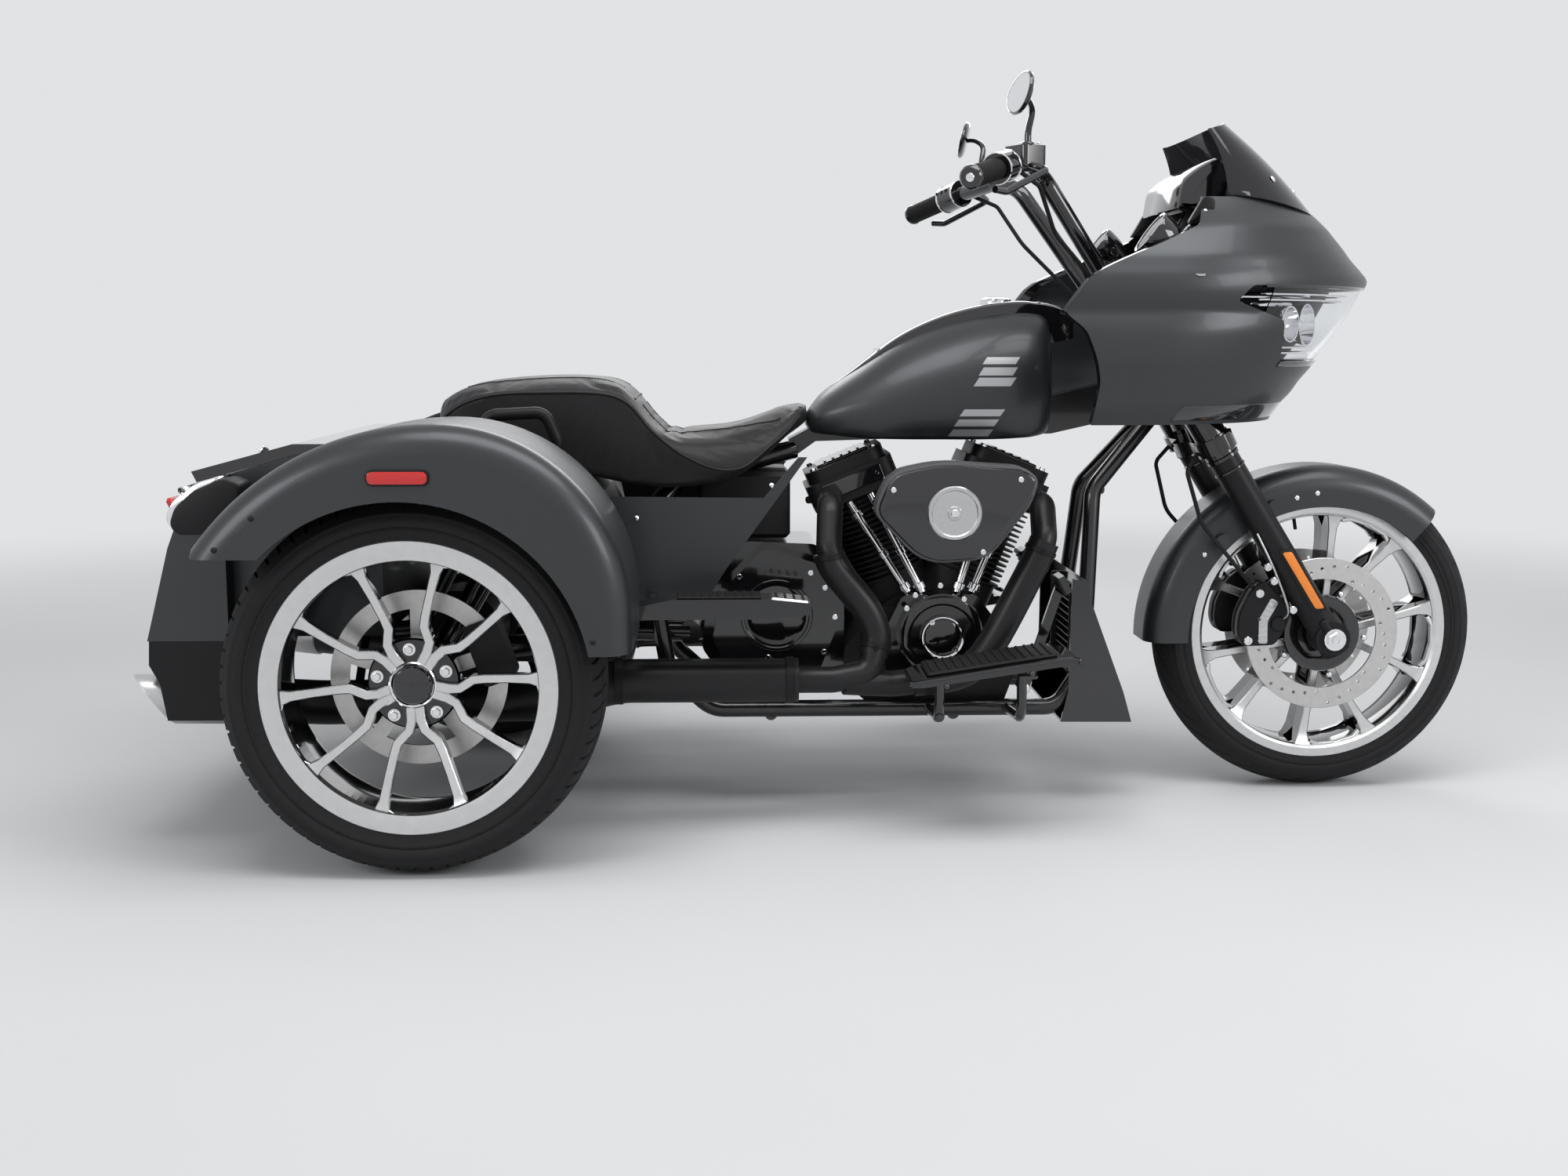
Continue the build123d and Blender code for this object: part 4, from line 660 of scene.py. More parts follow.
def strip(build, section, x_from):
    """A strip round the nose; its section is rows of height, draw and lift."""
    rows = []
    for z, draw, lift in section:
        rows.append([p + Vector((0, 0, lift)) for p in level_outline(z, draw) if p.x > x_from])
    rows = evened(rows)
    build.quads([[row[k] for row in rows] for k in range(len(rows[0]))])


def make_fairing():
    levels = heights(FAIRING_LOW, FAIRING_HIGH, 7)
    build = Build().use(paint)
    sheet_from(build, [level_outline(z) for z in levels], [level_outline(z, 4.0) for z in levels])
    shell = build.done("fairing_panel", "chassis", ["fairing_shell"], "satin_body_paint", smooth=40)
    cut(shell, Build().use(gloss).prism(rounded(LAMP, [10, 8, 2, 2, 6, 8], 4), -420, 420), 40)
    trim = Build().use(gloss)
    for low, high, x_from, proud, deep in (
        (838.0, 848.0, 752.0, 1.6, 12.0), (980.5, 985.5, 712.0, 1.6, 12.0), (742.0, 770.0, 560.0, 1.2, 3.0),
    ):
        strip(trim, ((low, deep, 0), (low, -proud * 0.4, 0), (low + 1.5, -proud, 0),
                     (high - 1.5, -proud, 0), (high, -proud * 0.4, 0), (high, deep, 0)), x_from)
    trim.done("fairing_lamp_trim", "chassis", slot="gloss_black")
    make_lamps()
    make_screen()
    make_cockpit()


def make_lamps():
    glass = Build().use(lens)
    levels = heights(849, 981, 12)

    def rows_at(draw):
        return evened([[p for p in level_outline(z, draw) if p.x > 700] for z in levels])

    sheet_from(glass, rows_at(4.6), rows_at(8.0))
    glass.done("headlamp_glass", "chassis", ["headlamps"], "lamp_glass")
    back = Build().use(plastic)
    sheet_from(back, rows_at(62.0), rows_at(66.0))
    back.use(chrome)
    for side in (-1, 1):
        for x, y, z, r in ((868, 92, 915, 36), (842, 170, 915, 36), (792, 232, 916, 30)):
            turn = Vector((0.86, side * (0.30 + y / 420), 0)).normalized()
            back.turned([(6, -34), (r * 0.62, -24), (r * 0.9, -8), (r, 8), (r + 3, 8), (r * 0.94, -12),
                         (r * 0.6, -30), (6, -38)], (x, side * y, z), turn, 28)
            back.ball(Vector((x, side * y, z)) - turn * 14, (13, 13, 13), segments=14, rows=8)
        for x, y, z in ((800, 226, 951), (842, 196, 966)):
            back.rod((700, side * 262, z), (x, side * y, z), 4.0, segments=8)
    for z in (862.0, 872.0, 958.0, 968.0):
        strip(back, ((z, 22.0, 0), (z, 22.0, 3), (z, 36.0, 3), (z, 36.0, 0)), 730.0)
    back.done("headlamp_inside", "chassis", slot="chrome")


GAUGE_RADIUS = 33.0
# Windshield foot and top: side edge, half width, side height, middle, middle height
SCREEN_LOW = (688.0, 209.0, 1152.0, 902.0, 1112.0)
SCREEN_HIGH = (656.0, 171.0, 1272.0, 712.0, 1294.0)


def screen_point(u, v, draw=0.0):
    """A place on the windshield: u across from -1 to 1, v up from 0 to 1."""
    x_side, half, z_side, x_mid, z_mid = (a + (b - a) * v for a, b in zip(SCREEN_LOW, SCREEN_HIGH))
    bow = math.cos(u * math.pi / 2)
    swell = 7.0 * math.sin(math.pi * v)
    return Vector((x_side + (x_mid - x_side) * bow + swell - draw, half * math.sin(u * math.pi / 2),
                   z_side + (z_mid - z_side) * bow ** 1.3 + swell * 0.6 - draw * 0.3))


def make_screen():
    build = Build().use(smoke)
    across_steps = [k / 24 - 1 for k in range(49)]
    rows = [k / 14 for k in range(15)]
    sheet_from(build, [[screen_point(u, v) for u in across_steps] for v in rows],
               [[screen_point(u, v, 4.0) for u in across_steps] for v in rows])
    build.done("windshield_pane", "chassis", ["windshield"], "smoked_screen")
    bolts = Build().use(chrome)
    for u, v in ((-0.62, 0.30), (-0.28, 0.26), (0.0, 0.24), (0.28, 0.26), (0.62, 0.30)):
        place = screen_point(u, v)
        bolts.bolt(place, (1, u * 0.9, 0.7), 7.0, 4.0, "dome")
    bolts.done("windshield_screws", "chassis", slot="chrome")


def make_cockpit():
    """Speaker pods, the fairing's edge lining, screen, gauges with their hood, and vents."""
    build = Build()
    aim = Vector((-0.81, 0, 0.586))
    for side in (-1, 1):
        centre = Vector((536, side * 240, 1079))
        build.use(gloss)
        build.turned([(0.5, -60), (30, -58), (40, -30), (44, -2), (42, 3), (37, 2), (37, -3), (0.5, -3)],
                     centre, aim, 40)
        build.use(mesh_grey)
        build.turned([(0.5, 2.4), (24, 2.0), (36.8, 0.4), (36.8, -4), (0.5, -4)], centre, aim, 40)
        build.use(chrome)
        build.turned([(37.2, 2.6), (39.8, 3.6), (41.6, 2.4), (41.6, 0), (37.2, 0)], centre, aim, 48)
    build.done("speaker_pods", "chassis", slot="gloss_black")
    panel = Build().use(gloss)
    for side in (-1, 1):
        rows = []
        for z in heights(740, 1088, 12):
            x_rear, _, _, half, _ = along(FAIRING, z)
            rows.append([
                Vector((x_rear + 1, side * (half - 1.5), z)), Vector((x_rear - 4, side * (half - 8), z)),
                Vector((x_rear + 2, side * (half - 18), z)), Vector((x_rear + 24, side * (half - 20), z)),
                Vector((x_rear + 24, side * (half - 5), z)),
            ])
        panel.quads(rows)
    panel.done("fairing_edge_lining", "chassis", slot="gloss_black")
    dash_aim = Vector((-0.888, 0, 0.460)).normalized()
    along_dash = Vector((0.460, 0, 0.888))
    middle = Vector((632.0, 0, 1071.5)) + dash_aim * 2
    dash = Build()
    turn = Matrix((Vector((0, 1, 0)), along_dash, dash_aim)).transposed()
    dash.use(plastic).slab(middle + dash_aim * 8, (226, 130, 22), turn, 7)
    dash.use(gloss).slab(middle + dash_aim * 21, (190, 96, 5), turn, 2.2)
    r = GAUGE_RADIUS
    face_lift, hand_lift = 8.4, 9.4
    for y in (-150.0, 150.0):
        place = middle + Vector((0, y, 0)) + along_dash * -6.0
        dash.use(chrome)
        dash.turned([(r, -4), (r, 12), (r - 3, 14), (r - 6, 12), (r - 6, -4)], place, dash_aim, 40)
        dash.use(plastic)
        dash.turned([(0.5, 8), (r - 6, 8), (r - 6, -4), (0.5, -4)], place, dash_aim, 40)
        dash.use(stripe)
        for k in range(9):
            tick = math.radians(-120 + 30 * k)
            out = along_dash * math.cos(tick) + Vector((0, 1, 0)) * math.sin(tick)
            face = place + dash_aim * face_lift
            dash.rod(face + out * (r - 13), face + out * (r - 9), 0.9, segments=6)
        dash.use(red_lens)
        hand_foot = place + dash_aim * hand_lift
        dash.rod(hand_foot, hand_foot + along_dash * (r - 14), 1.0, segments=6)
        dash.use(chrome).ball(place + dash_aim * 9.6, (3.2, 3.2, 3.2), segments=10, rows=6)
    hood = [(606, 1128), (614, 1180), (646, 1207), (684, 1226), (704, 1184), (694, 1120)]
    dash.use(gloss).prism(rounded(hood, [8, 14, 18, 14, 14, 8], 5), -146, 146, 12)
    dash.done("dash_screen_and_gauges", "chassis", ["instrument_panel"], "black_plastic")
    vents = Build()
    outline = rounded([(603, 1095), (632, 1146), (653, 1140), (650, 1104)], 8, 4)
    for side in (-1, 1):
        vents.use(satin).plate(outline, side, 240, 222, 3)
        vents.use(chrome).bolt((634, side * 240, 1118), (0, side, 0), 4.5, 3.0, "dome")
    vents.done("screen_foot_vents", "chassis", slot="satin_black")


# Fuel tank
# Upright sections: place, bottom, height of the widest line, top, bottom half width, full half width
TANK = [
    (-78, 722, 735, 744, 30, 44), (-70, 712, 734, 756, 56, 76), (-45, 707, 744, 786, 80, 104),
    (20, 702, 756, 832, 104, 130), (90, 700, 768, 880, 118, 146), (170, 700, 780, 915, 127, 156),
    (250, 700, 789, 936, 128, 159), (320, 702, 796, 945, 118, 150), (362, 706, 801, 944, 100, 132),
    (384, 716, 806, 936, 78, 106), (393, 740, 812, 915, 48, 70),
]
# The cover on the tank's ridge: place, half width, height above the tank
TANK_COVER = [(-30, 20, 0), (10, 34, 3), (60, 44, 7), (124, 50, 12), (190, 55, 15), (260, 56, 16),
              (330, 54, 16), (384, 46, 14), (425, 36, 2), (440, 26, -18)]
FILLER, FILLER_AXIS = (292, 0, 960), (0.02, 0, 1)


def tank_section(x, steps=14):
    z_low, z_wide, z_top, low_half, half = along(TANK, x)
    side = []
    for k in range(steps + 1):
        a = math.pi / 2 * k / steps
        y = low_half + (half - low_half) * math.sin(a) ** 0.9
        side.append((y, z_wide - (z_wide - z_low) * math.cos(a) ** 0.8))
    for k in range(1, steps + 1):
        a = math.pi / 2 * k / steps
        side.append((half * math.cos(a) ** 0.86, z_wide + (z_top - z_wide) * math.sin(a) ** 1.04))
    return side


def tank_side(x, z):
    """How far out the tank's side is at a place and height."""
    row = tank_section(x, 40)
    for (y_low, z_low), (y_high, z_high) in zip(row, row[1:]):
        if z_low <= z <= z_high:
            t = (z - z_low) / max(z_high - z_low, 1e-6)
            return y_low + (y_high - y_low) * t
    return 0.0


def make_tank():
    build = Build().use(paint)
    rings = []
    for x in heights(-78, 393, 9):
        rings.append(mirrored(x, tank_section(x), 0, -1))
    build.quads(rings)
    build.done("tank_shell", "chassis", ["fuel_tank"], "satin_body_paint", smooth=50)
    top = Build().use(gloss)
    rows = []
    for x, half, lift in spline(TANK_COVER, 44):
        z_top = along(TANK, min(x, 360.0))[2]
        if x > 360:
            z_top = 944 - (x - 360) * 0.02
        z = z_top + lift
        base = z_top - 34 if x < 392 else 880 + (x - 392) * 0.2
        edge = z_top - 6 - (half * half) / 300
        rows.append(mirrored(x, [(half, base), (half, edge), (half - 3, z - 5), (half - 9, z - 1.5),
                                 (half * 0.5, z)]))
    top.quads(rows)
    top.use(chrome)
    top.turned([(0.5, 9), (22, 8), (29, 5), (31, 0), (31, -10), (0.5, -10)], FILLER, FILLER_AXIS, 40)
    top.use(gloss).turned([(0.5, 9.6), (19, 9.0), (20.5, 7), (0.5, 6)], FILLER, FILLER_AXIS, 32)
    top.use(chrome)
    for x, y in ((60, 30), (60, -30), (370, 34), (370, -34)):
        z = along(TANK, x)[2] + (8 if x < 100 else 15)
        top.bolt((x, y, z - 1.5), UP, 4.2, 3.4, "socket")
    top.done("tank_top_cover", "chassis", ["tank_console"], "gloss_black", smooth=40)
    bars = Build().use(stripe)
    for side in (-1, 1):
        for low, high in STRIPES:
            stripe_bar(bars, side, low, high)
    bars.done("tank_stripes", "chassis", slot="machined_aluminium")


def stripe_bar(build, side, near, far):
    """One slanted bar laid on the tank's side, from its rear end to its front end."""
    rows = []
    for k in range(13):
        t = k / 12
        line = []
        for v in (0.0, 1.0):
            x = near[v > 0.5][0] * (1 - t) + far[v > 0.5][0] * t
            z = near[v > 0.5][1] * (1 - t) + far[v > 0.5][1] * t
            line.append((x, z))
        row = []
        for v in (0.0, 0.25, 0.5, 0.75, 1.0):
            x = line[0][0] * (1 - v) + line[1][0] * v
            z = line[0][1] * (1 - v) + line[1][1] * v
            row.append(Vector((x, side * (tank_side(x, z) + 0.9), z)))
        base = [Vector((p.x, p.y - side * 4.0, p.z)) for p in reversed(row)]
        rows.append(row + base)
    build.quads(rows)


# Each tank stripe: low and high corner of its rear end, then of its front end
STRIPES = [
    (((247, 842), (256, 855)), ((310, 842), (319, 855))),
    (((239, 821), (249, 836)), ((304, 821), (314, 836))),
    (((229, 801), (240, 817)), ((300, 801), (311, 817))),
    (((204, 745), (213, 758)), ((281, 745), (290, 758))),
    (((194, 726), (203, 739)), ((270, 726), (279, 739))),
    (((184, 707), (193, 720)), ((260, 707), (269, 720))),
]


# Wheels
def arm(build, centre, outward, rows, face, sides, chamfer=1.6):
    """A spoke with a bright face: rows of radius, degrees, face height, half width and depth."""
    places = [(polar(centre, radius, degrees, centre[1] + outward * height), half, deep)
              for radius, degrees, height, half, deep in rows]
    rings = []
    down = Vector((0, -outward, 0))
    for k, (place, half, deep) in enumerate(places):
        ahead = places[min(k + 1, len(places) - 1)][0] - places[max(k - 1, 0)][0]
        ahead.y = 0
        side = ahead.normalized().cross(Vector((0, 1, 0)))
        rings.append([place + side * s + down * d for s, d in (
            (-half * 0.86, deep), (-half, chamfer), (-half + chamfer, 0), (half - chamfer, 0),
            (half, chamfer), (half * 0.86, deep))])
    verts = [[build.bm.verts.new(p) for p in ring] for ring in rings]
    for low, high in zip(verts, verts[1:]):
        for k in range(6):
            build.use(face if k in (1, 2, 3) else sides)
            build.face(low[k], low[(k + 1) % 6], high[(k + 1) % 6], high[k])
    build.use(sides)
    build.face(*reversed(verts[0]))
    build.face(*verts[-1])


def forked_spokes(build, centre, outward, roots, spoke, web, face):
    """Pairs of spokes, and the web that joins each pair at the rim; their degrees count from the root."""
    for root in roots:
        for turn in (-1, 1):
            rows = [(radius, root + turn * degrees, *rest) for radius, degrees, *rest in spoke]
            arm(build, centre, outward, rows, face, gloss)
        rows = [(radius, root + degrees, *rest) for radius, degrees, *rest in web]
        arm(build, centre, outward, rows, face, gloss, 1.2)


def valve(build, centre, place, reach, thick):
    """A valve stem from (radius, degrees, y), by (inward, across)."""
    radius, degrees, y = place
    a = math.radians(degrees)
    stem = polar(centre, radius, degrees, centre[1] + y)
    end = stem + Vector((-reach[0] * math.cos(a), reach[1], -reach[0] * math.sin(a)))
    build.use(plastic).rod(stem, end, thick, segments=10, chamfer=0.8)


# Spokes and webs: radius, degrees from the root, height of the face, half width, depth
REAR_SPOKE = [
    (34, 12, 54, 8, 26), (60, 7.5, 56, 8, 30), (78, 9.5, 57, 8, 30), (92, 16, 60, 8, 30),
    (101, 19.2, 62, 8, 30), (120, 19.6, 66, 7.6, 30), (160, 18.9, 75, 7.4, 28), (196, 18.2, 82, 8.4, 24),
    (211, 18.0, 86, 13, 18), (219, 17.9, 91.6, 20, 10),
]
REAR_WEB = [(211, -15.5, 84, 4, 10), (216, -12, 90, 4, 12), (217.5, 0, 91.4, 4, 12), (216, 12, 90, 4, 12),
            (211, 15.5, 84, 4, 10)]
FRONT_SPOKE = [
    (38, 10, 50, 9, 50), (60, 10, 49, 8.2, 49), (84, 11.6, 46, 7.6, 46), (120, 13.8, 43, 7.4, 43),
    (170, 15.8, 42, 7.4, 42), (205, 16.8, 44, 8.6, 44), (222, 17, 48, 13, 30), (233, 17, 55, 19, 20),
]
FRONT_WEB = [(224, -13, 48, 4, 12), (230, -9, 54, 4, 12), (231.6, 0, 55, 4, 12), (230, 9, 54, 4, 12),
             (224, 13, 48, 4, 12)]
# Sections of the rims and their bright lips: radius and distance from the wheel's middle
REAR_BARREL = [(246, 92), (246, 86.5), (236, 84), (231, 60), (231, -60), (236, -84), (246, -87), (246, -92),
               (240, -92), (226, -80), (223, -58), (223, 52), (214, 70), (210, 80), (212, 91), (216, 92)]
REAR_LIP = [(245, 91), (244.4, 92.8), (217, 93.0), (213.2, 91.8), (213.2, 90.6), (244, 90)]
FRONT_BARREL = [(253, 58), (253, 52.5), (243, 50), (239, 34), (239, -34), (243, -50), (253, -52.5),
                (253, -58), (246, -58), (233, -50), (229, -38), (229, 38), (233, 50), (246, 58)]
FRONT_LIP = [(252, 57), (251.4, 58.8), (236, 58.6), (231, 55), (229.4, 50), (236, 49)]
# Where each pair of spokes, and each wheel nut, stands round the wheel, in degrees
REAR_ROOTS = (58, 130, 202, 274, 346)
NUT_ROOTS = (22, 94, 166, 238, 310)
FRONT_ROOTS = (66, -6, -78, -150, 138)


def make_rear_wheel(side, face, name, body):
    centre = (REAR_X, side * REAR_Y, REAR_Z)
    axis = (0, side, 0)
    build = Build().use(gloss)
    build.turned(REAR_BARREL, centre, axis, 120)
    build.use(face).turned(REAR_LIP, centre, axis, 120)
    forked_spokes(build, centre, side, REAR_ROOTS, REAR_SPOKE, REAR_WEB, face)
    build.use(gloss)
    build.turned([(0.5, 44), (74, 42), (77, 38), (77, 14), (70, -2), (44, -8), (22, -8), (20.4, -4),
                  (20.4, 30), (0.5, 30)], centre, axis, 64)
    build.turned([(0.5, 63), (20, 62.4), (30, 59), (34, 54), (35, 40), (0.5, 40)], centre, axis, 48)
    build.use(chrome)
    build.turned([(35.2, 55), (37.4, 56.4), (39.2, 55), (39.2, 44), (35.2, 44)], centre, axis, 48)
    for root in NUT_ROOTS:
        place = polar(centre, 60, root, centre[1] + side * 41)
        socket = [(11, 0), (11.5, 4), (10.5, 12), (6, 13), (5.5, 9), (0.5, 9), (0.5, 0)]
        build.turned(socket, place, axis, 20)
        build.bolt(place + Vector((0, side * 8, 0)), axis, 7.5, 10, "hex")
    valve(build, centre, (226, 94, side * 66), (18, side * 20), 3.4)
    build.use(steel)
    for k in range(2):
        degrees = 200 + 8 * k
        weight = polar(centre, 221, degrees, centre[1] + side * 40)
        build.slab(weight, (5, 22, 9), Matrix.Rotation(-math.radians(degrees), 3, "Y"), 1.2)
    build.done(name, body, ["rear_rim_left" if side > 0 else "rear_rim_right"], "machined_aluminium",
               smooth=32)


def make_front_wheel():
    centre = FRONT_CENTRE
    build = Build().use(gloss)
    build.turned(FRONT_BARREL, centre, (0, 1, 0), 120)
    for side in (-1, 1):
        build.use(front_face)
        build.turned(FRONT_LIP, centre, (0, side, 0), 120)
        forked_spokes(build, centre, side, FRONT_ROOTS, FRONT_SPOKE, FRONT_WEB, front_face)
    build.use(gloss)
    build.turned([(13, -67.8), (44, -67.8), (46, -64), (43, -52), (42, -20), (42, 20), (43, 52), (46, 64),
                  (44, 67.8), (13, 67.8)], centre, (0, 1, 0), 48)
    valve(build, centre, (230, 100, 0), (30, 0), 3.6)
    build.done("front_wheel_spokes", "front_wheel", ["front_rim"], "machined_aluminium", smooth=32)


def make_front_discs():
    """Both discs with their holes, carriers and bolts."""
    build = Build()
    for side in (-1, 1):
        build.use(disc_front)
        build.turned([(108, 75.3), (108, 80.3), (148.6, 80.3), (149.4, 79.6), (149.4, 76), (148.6, 75.3)],
                     FRONT_CENTRE, (0, side, 0), 144)
        for root in FRONT_ROOTS:
            tab = [(70, root - 9), (82, root - 12), (112, root - 7), (112, root + 7), (82, root + 12),
                   (70, root + 9)]
            build.use(disc_front).plate(ring_points(tab), side, 75.6, 80.0, 0.8)
            build.use(chrome).bolt(polar(FRONT_CENTRE, 84, root, side * 80), (0, side, 0), 6.4, 5.0, "dome")
        build.use(gloss)
        build.turned([(26, 68.4), (56, 68.4), (72, 71), (76, 75), (74, 80.6), (60, 81.2), (50, 78),
                      (46, 73), (26, 73)], FRONT_CENTRE, (0, side, 0), 60)
    discs = build.done("front_brake_discs", "front_wheel", ["front_discs"], "disc_steel", smooth=30)
    holes = Build().use(disc_front)
    count, slanting = 35, 5
    for side in (-1, 1):
        for k in range(count):
            place = polar(FRONT_CENTRE, 139 - 5.6 * (k % slanting), 20 + k * 360 / count, 0)
            holes.rod(place + Vector((0, side * 72, 0)), place + Vector((0, side * 84, 0)), 3.3,
                      segments=12)
    cut(discs, holes, 30)


def ring_points(rows):
    """(x, z) places of (radius, degrees) rows round the front wheel's centre."""
    places = [polar(FRONT_CENTRE, r, a) for r, a in rows]
    return [(p.x, p.z) for p in places]


def make_tyre(name, body, node_name, centre, radius, half, rim_r, rim_half, crown, pitches, depth, rows,
              sipe):
    """A tyre with its tread cut in. rows: where the ring grooves run. sipe: from, to, slant, mirrored."""
    sipe_low, sipe_high, slant, mirrored = sipe
    shoulder = half * 0.80
    flange = rim_r + 10.5
    profile = []
    walls = [row + off for row in rows for off in (-3.4, -2.0, 2.0, 3.4)]
    marks = sorted({0.0, *(y for y in walls if y > 0.5), *[shoulder * k / 7 for k in range(1, 8)]})
    for y in marks:
        drop = crown * (y / shoulder) ** 2.2 * 0.62
        profile.append((y, radius - drop))
    tread_rows = len(profile)
    edge_r = profile[-1][1]
    for k in range(1, 11):
        t = k / 10
        r = edge_r + (flange - edge_r) * t
        swell = (half - shoulder) * math.sin(min(1.0, t * 2.0) * math.pi / 2)
        y = shoulder + swell - (half - rim_half - 1.5) * smooth_step((t - 0.45) / 0.55)
        if k in (3, 7):
            profile.append((y - 0.2, r + 3.0))
            profile.append((y + 1.0, r + 1.6))
            profile.append((y + 1.0, r - 1.6))
        profile.append((y, r))
    profile += [(rim_half - 6.6, flange - 0.3), (rim_half - 6.6, rim_r + 1.0)]
    loop = [(-y, r) for y, r in reversed(profile)] + [(y, r) for y, r in profile[1:]]
    first = len(profile) - tread_rows
    last = len(loop) - 1 - first
    slots = (0.0, 0.05, 0.17, 0.22, 0.48, 0.74)
    columns = pitches * len(slots)
    rings = []
    for step in range(columns):
        turn = (step // len(slots) + slots[step % len(slots)]) / pitches * 2 * math.pi
        deep_column = step % len(slots) in (1, 2)
        ring = []
        for j, (y, r) in enumerate(loop):
            if first <= j <= last:
                a = abs(y)
                ringed = any(abs(a - row) < 2.2 for row in rows)
                r -= depth if ringed or (deep_column and sipe_low <= a <= sipe_high) else 0.0
            outward = 1 if y > 0 else -1
            mark = y if first <= j <= last else shoulder * outward
            angle = turn + slant * mark / shoulder * (outward if mirrored else 1)
            ring.append(Vector((centre[0] + r * math.cos(angle), centre[1] + y,
                                centre[2] + r * math.sin(angle))))
        rings.append(ring)
    build = Build().use(rubber)
    build.quads(rings, looped=True)
    build.done(name, body, [node_name], "tyre_rubber", smooth=42)


# Steering details
# Places and heights of the bolts, seen from the side
FORK_BOLTS = ((802, 456), (815, 429), (854, 373))
FENDER_RIVETS = ((873, 583), (913, 592), (724, 498), (696, 473))
LEG_LEAN = math.radians(32.0)
BAR_RUN = (Vector((180, -459, 1158)) - Vector((250, -330, 1186))).normalized()
BAR_END = Vector((180, -459, 1158))


def leg_x(z):
    return 934.0 - math.tan(LEG_LEAN) * (z - 316.0)


def make_fork_details():
    build = Build()
    lean = Vector((-math.sin(LEG_LEAN), 0, math.cos(LEG_LEAN)))
    for side in (-1, 1):
        y = side * 117.0
        for z, r, high in ((842.0, 32.6, 22), (694.0, 33.4, 14), (662.0, 32.4, 9), (640.0, 31.2, 6)):
            build.use(chrome if z == 842.0 else gloss)
            start = Vector((leg_x(z), y, z))
            build.turned([(r - 2.6, 0), (r, 1.5), (r, high - 1.5), (r - 2.6, high)], start, lean, 40)
        build.use(chrome)
        top = Vector((leg_x(896), y, 896)) + lean * 0.5
        build.turned([(0.5, 0), (27, 0), (28, 3), (25, 6), (12, 7), (11, 12), (0.5, 12.4)], top, lean, 32)
        for x, z in FORK_BOLTS:
            build.bolt((x, side * 144.0, z), (0, side, 0), 7.5, 6.0, "socket")
        build.use(chrome).bolt((934, side * 157.0, 316), (0, side, 0), 17, 11, "hex")
        nut_face = (934, side * 167.0, 316)
        build.turned([(8, 0), (9, 6), (4, 7), (3.6, 3), (0.5, 3)], nut_face, (0, side, 0), 20)
        build.use(satin)
        build.rod((leg_x(352), side * 146, 352), (leg_x(300), side * 146, 300), 9, segments=12, chamfer=2)
    for x, z in FENDER_RIVETS:
        for side in (-1, 1):
            build.use(chrome).bolt((x, side * 83.6, z), (0, side, 0), 5.6, 3.0, "dome")
    build.done("fork_caps_and_bolts", "steering", slot="chrome")
    sensor = Build().use(steel)
    for side in (-1, 1):
        sensor.tube([(leg_x(520) - 26, side * 140, 520), (leg_x(450) - 34, side * 140, 450),
                     (850, side * 128, 372), (846, side * 112, 350)], 2.2, 8)
    sensor.done("wheel_sensor_lines", "steering", slot="disc_steel")
    make_calipers()
    make_reflector_strips()


def make_calipers():
    """Rounded caliper bodies with their bridge, pins, bolts and ribbed insert."""
    build = Build()
    for side in (-1, 1):
        def at(r, degrees, y):
            return polar(FRONT_CENTRE, r, degrees, side * y)

        for low, high, grow in ((62.0, 73.6, 0.0), (83.5, 111.0, 2.0)):
            outline = ring_points((
                (96 - grow, 142), (168, 139), (176, 150), (178, 166), (176, 178), (166, 187), (104, 190),
                (92, 182), (84 - grow, 166), (86 - grow, 150)))
            build.use(satin).plate(rounded(outline, 13, 4), side, low, high, 3.2)
        bridge = ring_points(((155, 143), (172, 145), (175, 166), (172, 184), (155, 186), (158, 166)))
        build.plate(rounded(bridge, 6, 3), side, 72, 90, 2)
        insert = ring_points(((118, 146), (136, 146), (140, 166), (136, 186), (118, 187), (122, 166)))
        build.use(steel).plate(rounded(insert, 5, 3), side, 110, 113.6, 1)
        for k in range(9):
            a = 148.5 + k * 4.4
            off = abs(k - 4)
            build.rod(at(121 - off * 0.6, a, 113.4), at(136 + off * 0.2, a, 113.4), 1.1, segments=6)
        build.use(chrome)
        for r, a in ((160, 148), (156, 183)):
            build.bolt(at(r, a, 110.5), (0, side, 0), 8.5, 6.5, "socket")
        cap = [(0.5, 5), (13, 4.4), (16, 0), (16, -4), (0.5, -4)]
        build.use(satin).turned(cap, at(100, 166, 110.6), (0, side, 0), 28)
        build.use(chrome)
        for a in (152, 180):
            build.rod(at(101, a, 70), at(101, a, 86), 4.0, segments=10)
        tab = ring_points(((120, 136), (128, 150), (160, 150), (158, 132)))
        build.use(satin).plate(rounded(tab, 8, 3), side, 92, 106, 2)
        build.use(gloss).bolt(at(140, 166, 113), (0, side, 0), 4, 2, "dome")
    build.done("front_caliper_bodies", "steering", ["front_calipers"], "satin_black", smooth=38)


def make_reflector_strips():
    build = Build()
    for side in (-1, 1):
        holder = rounded([(820, 488), (847, 492), (920, 373), (892, 369)], 7, 4)
        build.use(satin).plate(holder, side, 146.4, 149.6, 0.8)
        strip_lens = rounded([(827, 484), (845, 486.5), (913, 377), (896, 375)], 5, 4)
        build.use(amber_lens).plate(strip_lens, side, 149.4, 152.2, 0.9)
        build.use(satin)
        for z in (400.0, 460.0):
            build.rod((leg_x(z) + 2, side * 137, z), (leg_x(z) + 2, side * 148, z), 7, segments=12)
    build.done("fork_side_reflectors", "steering", ["fork_reflectors"], "amber_lens")


def bar_side(point, side):
    return Vector((point[0], -point[1] if side > 0 else point[1], point[2]))


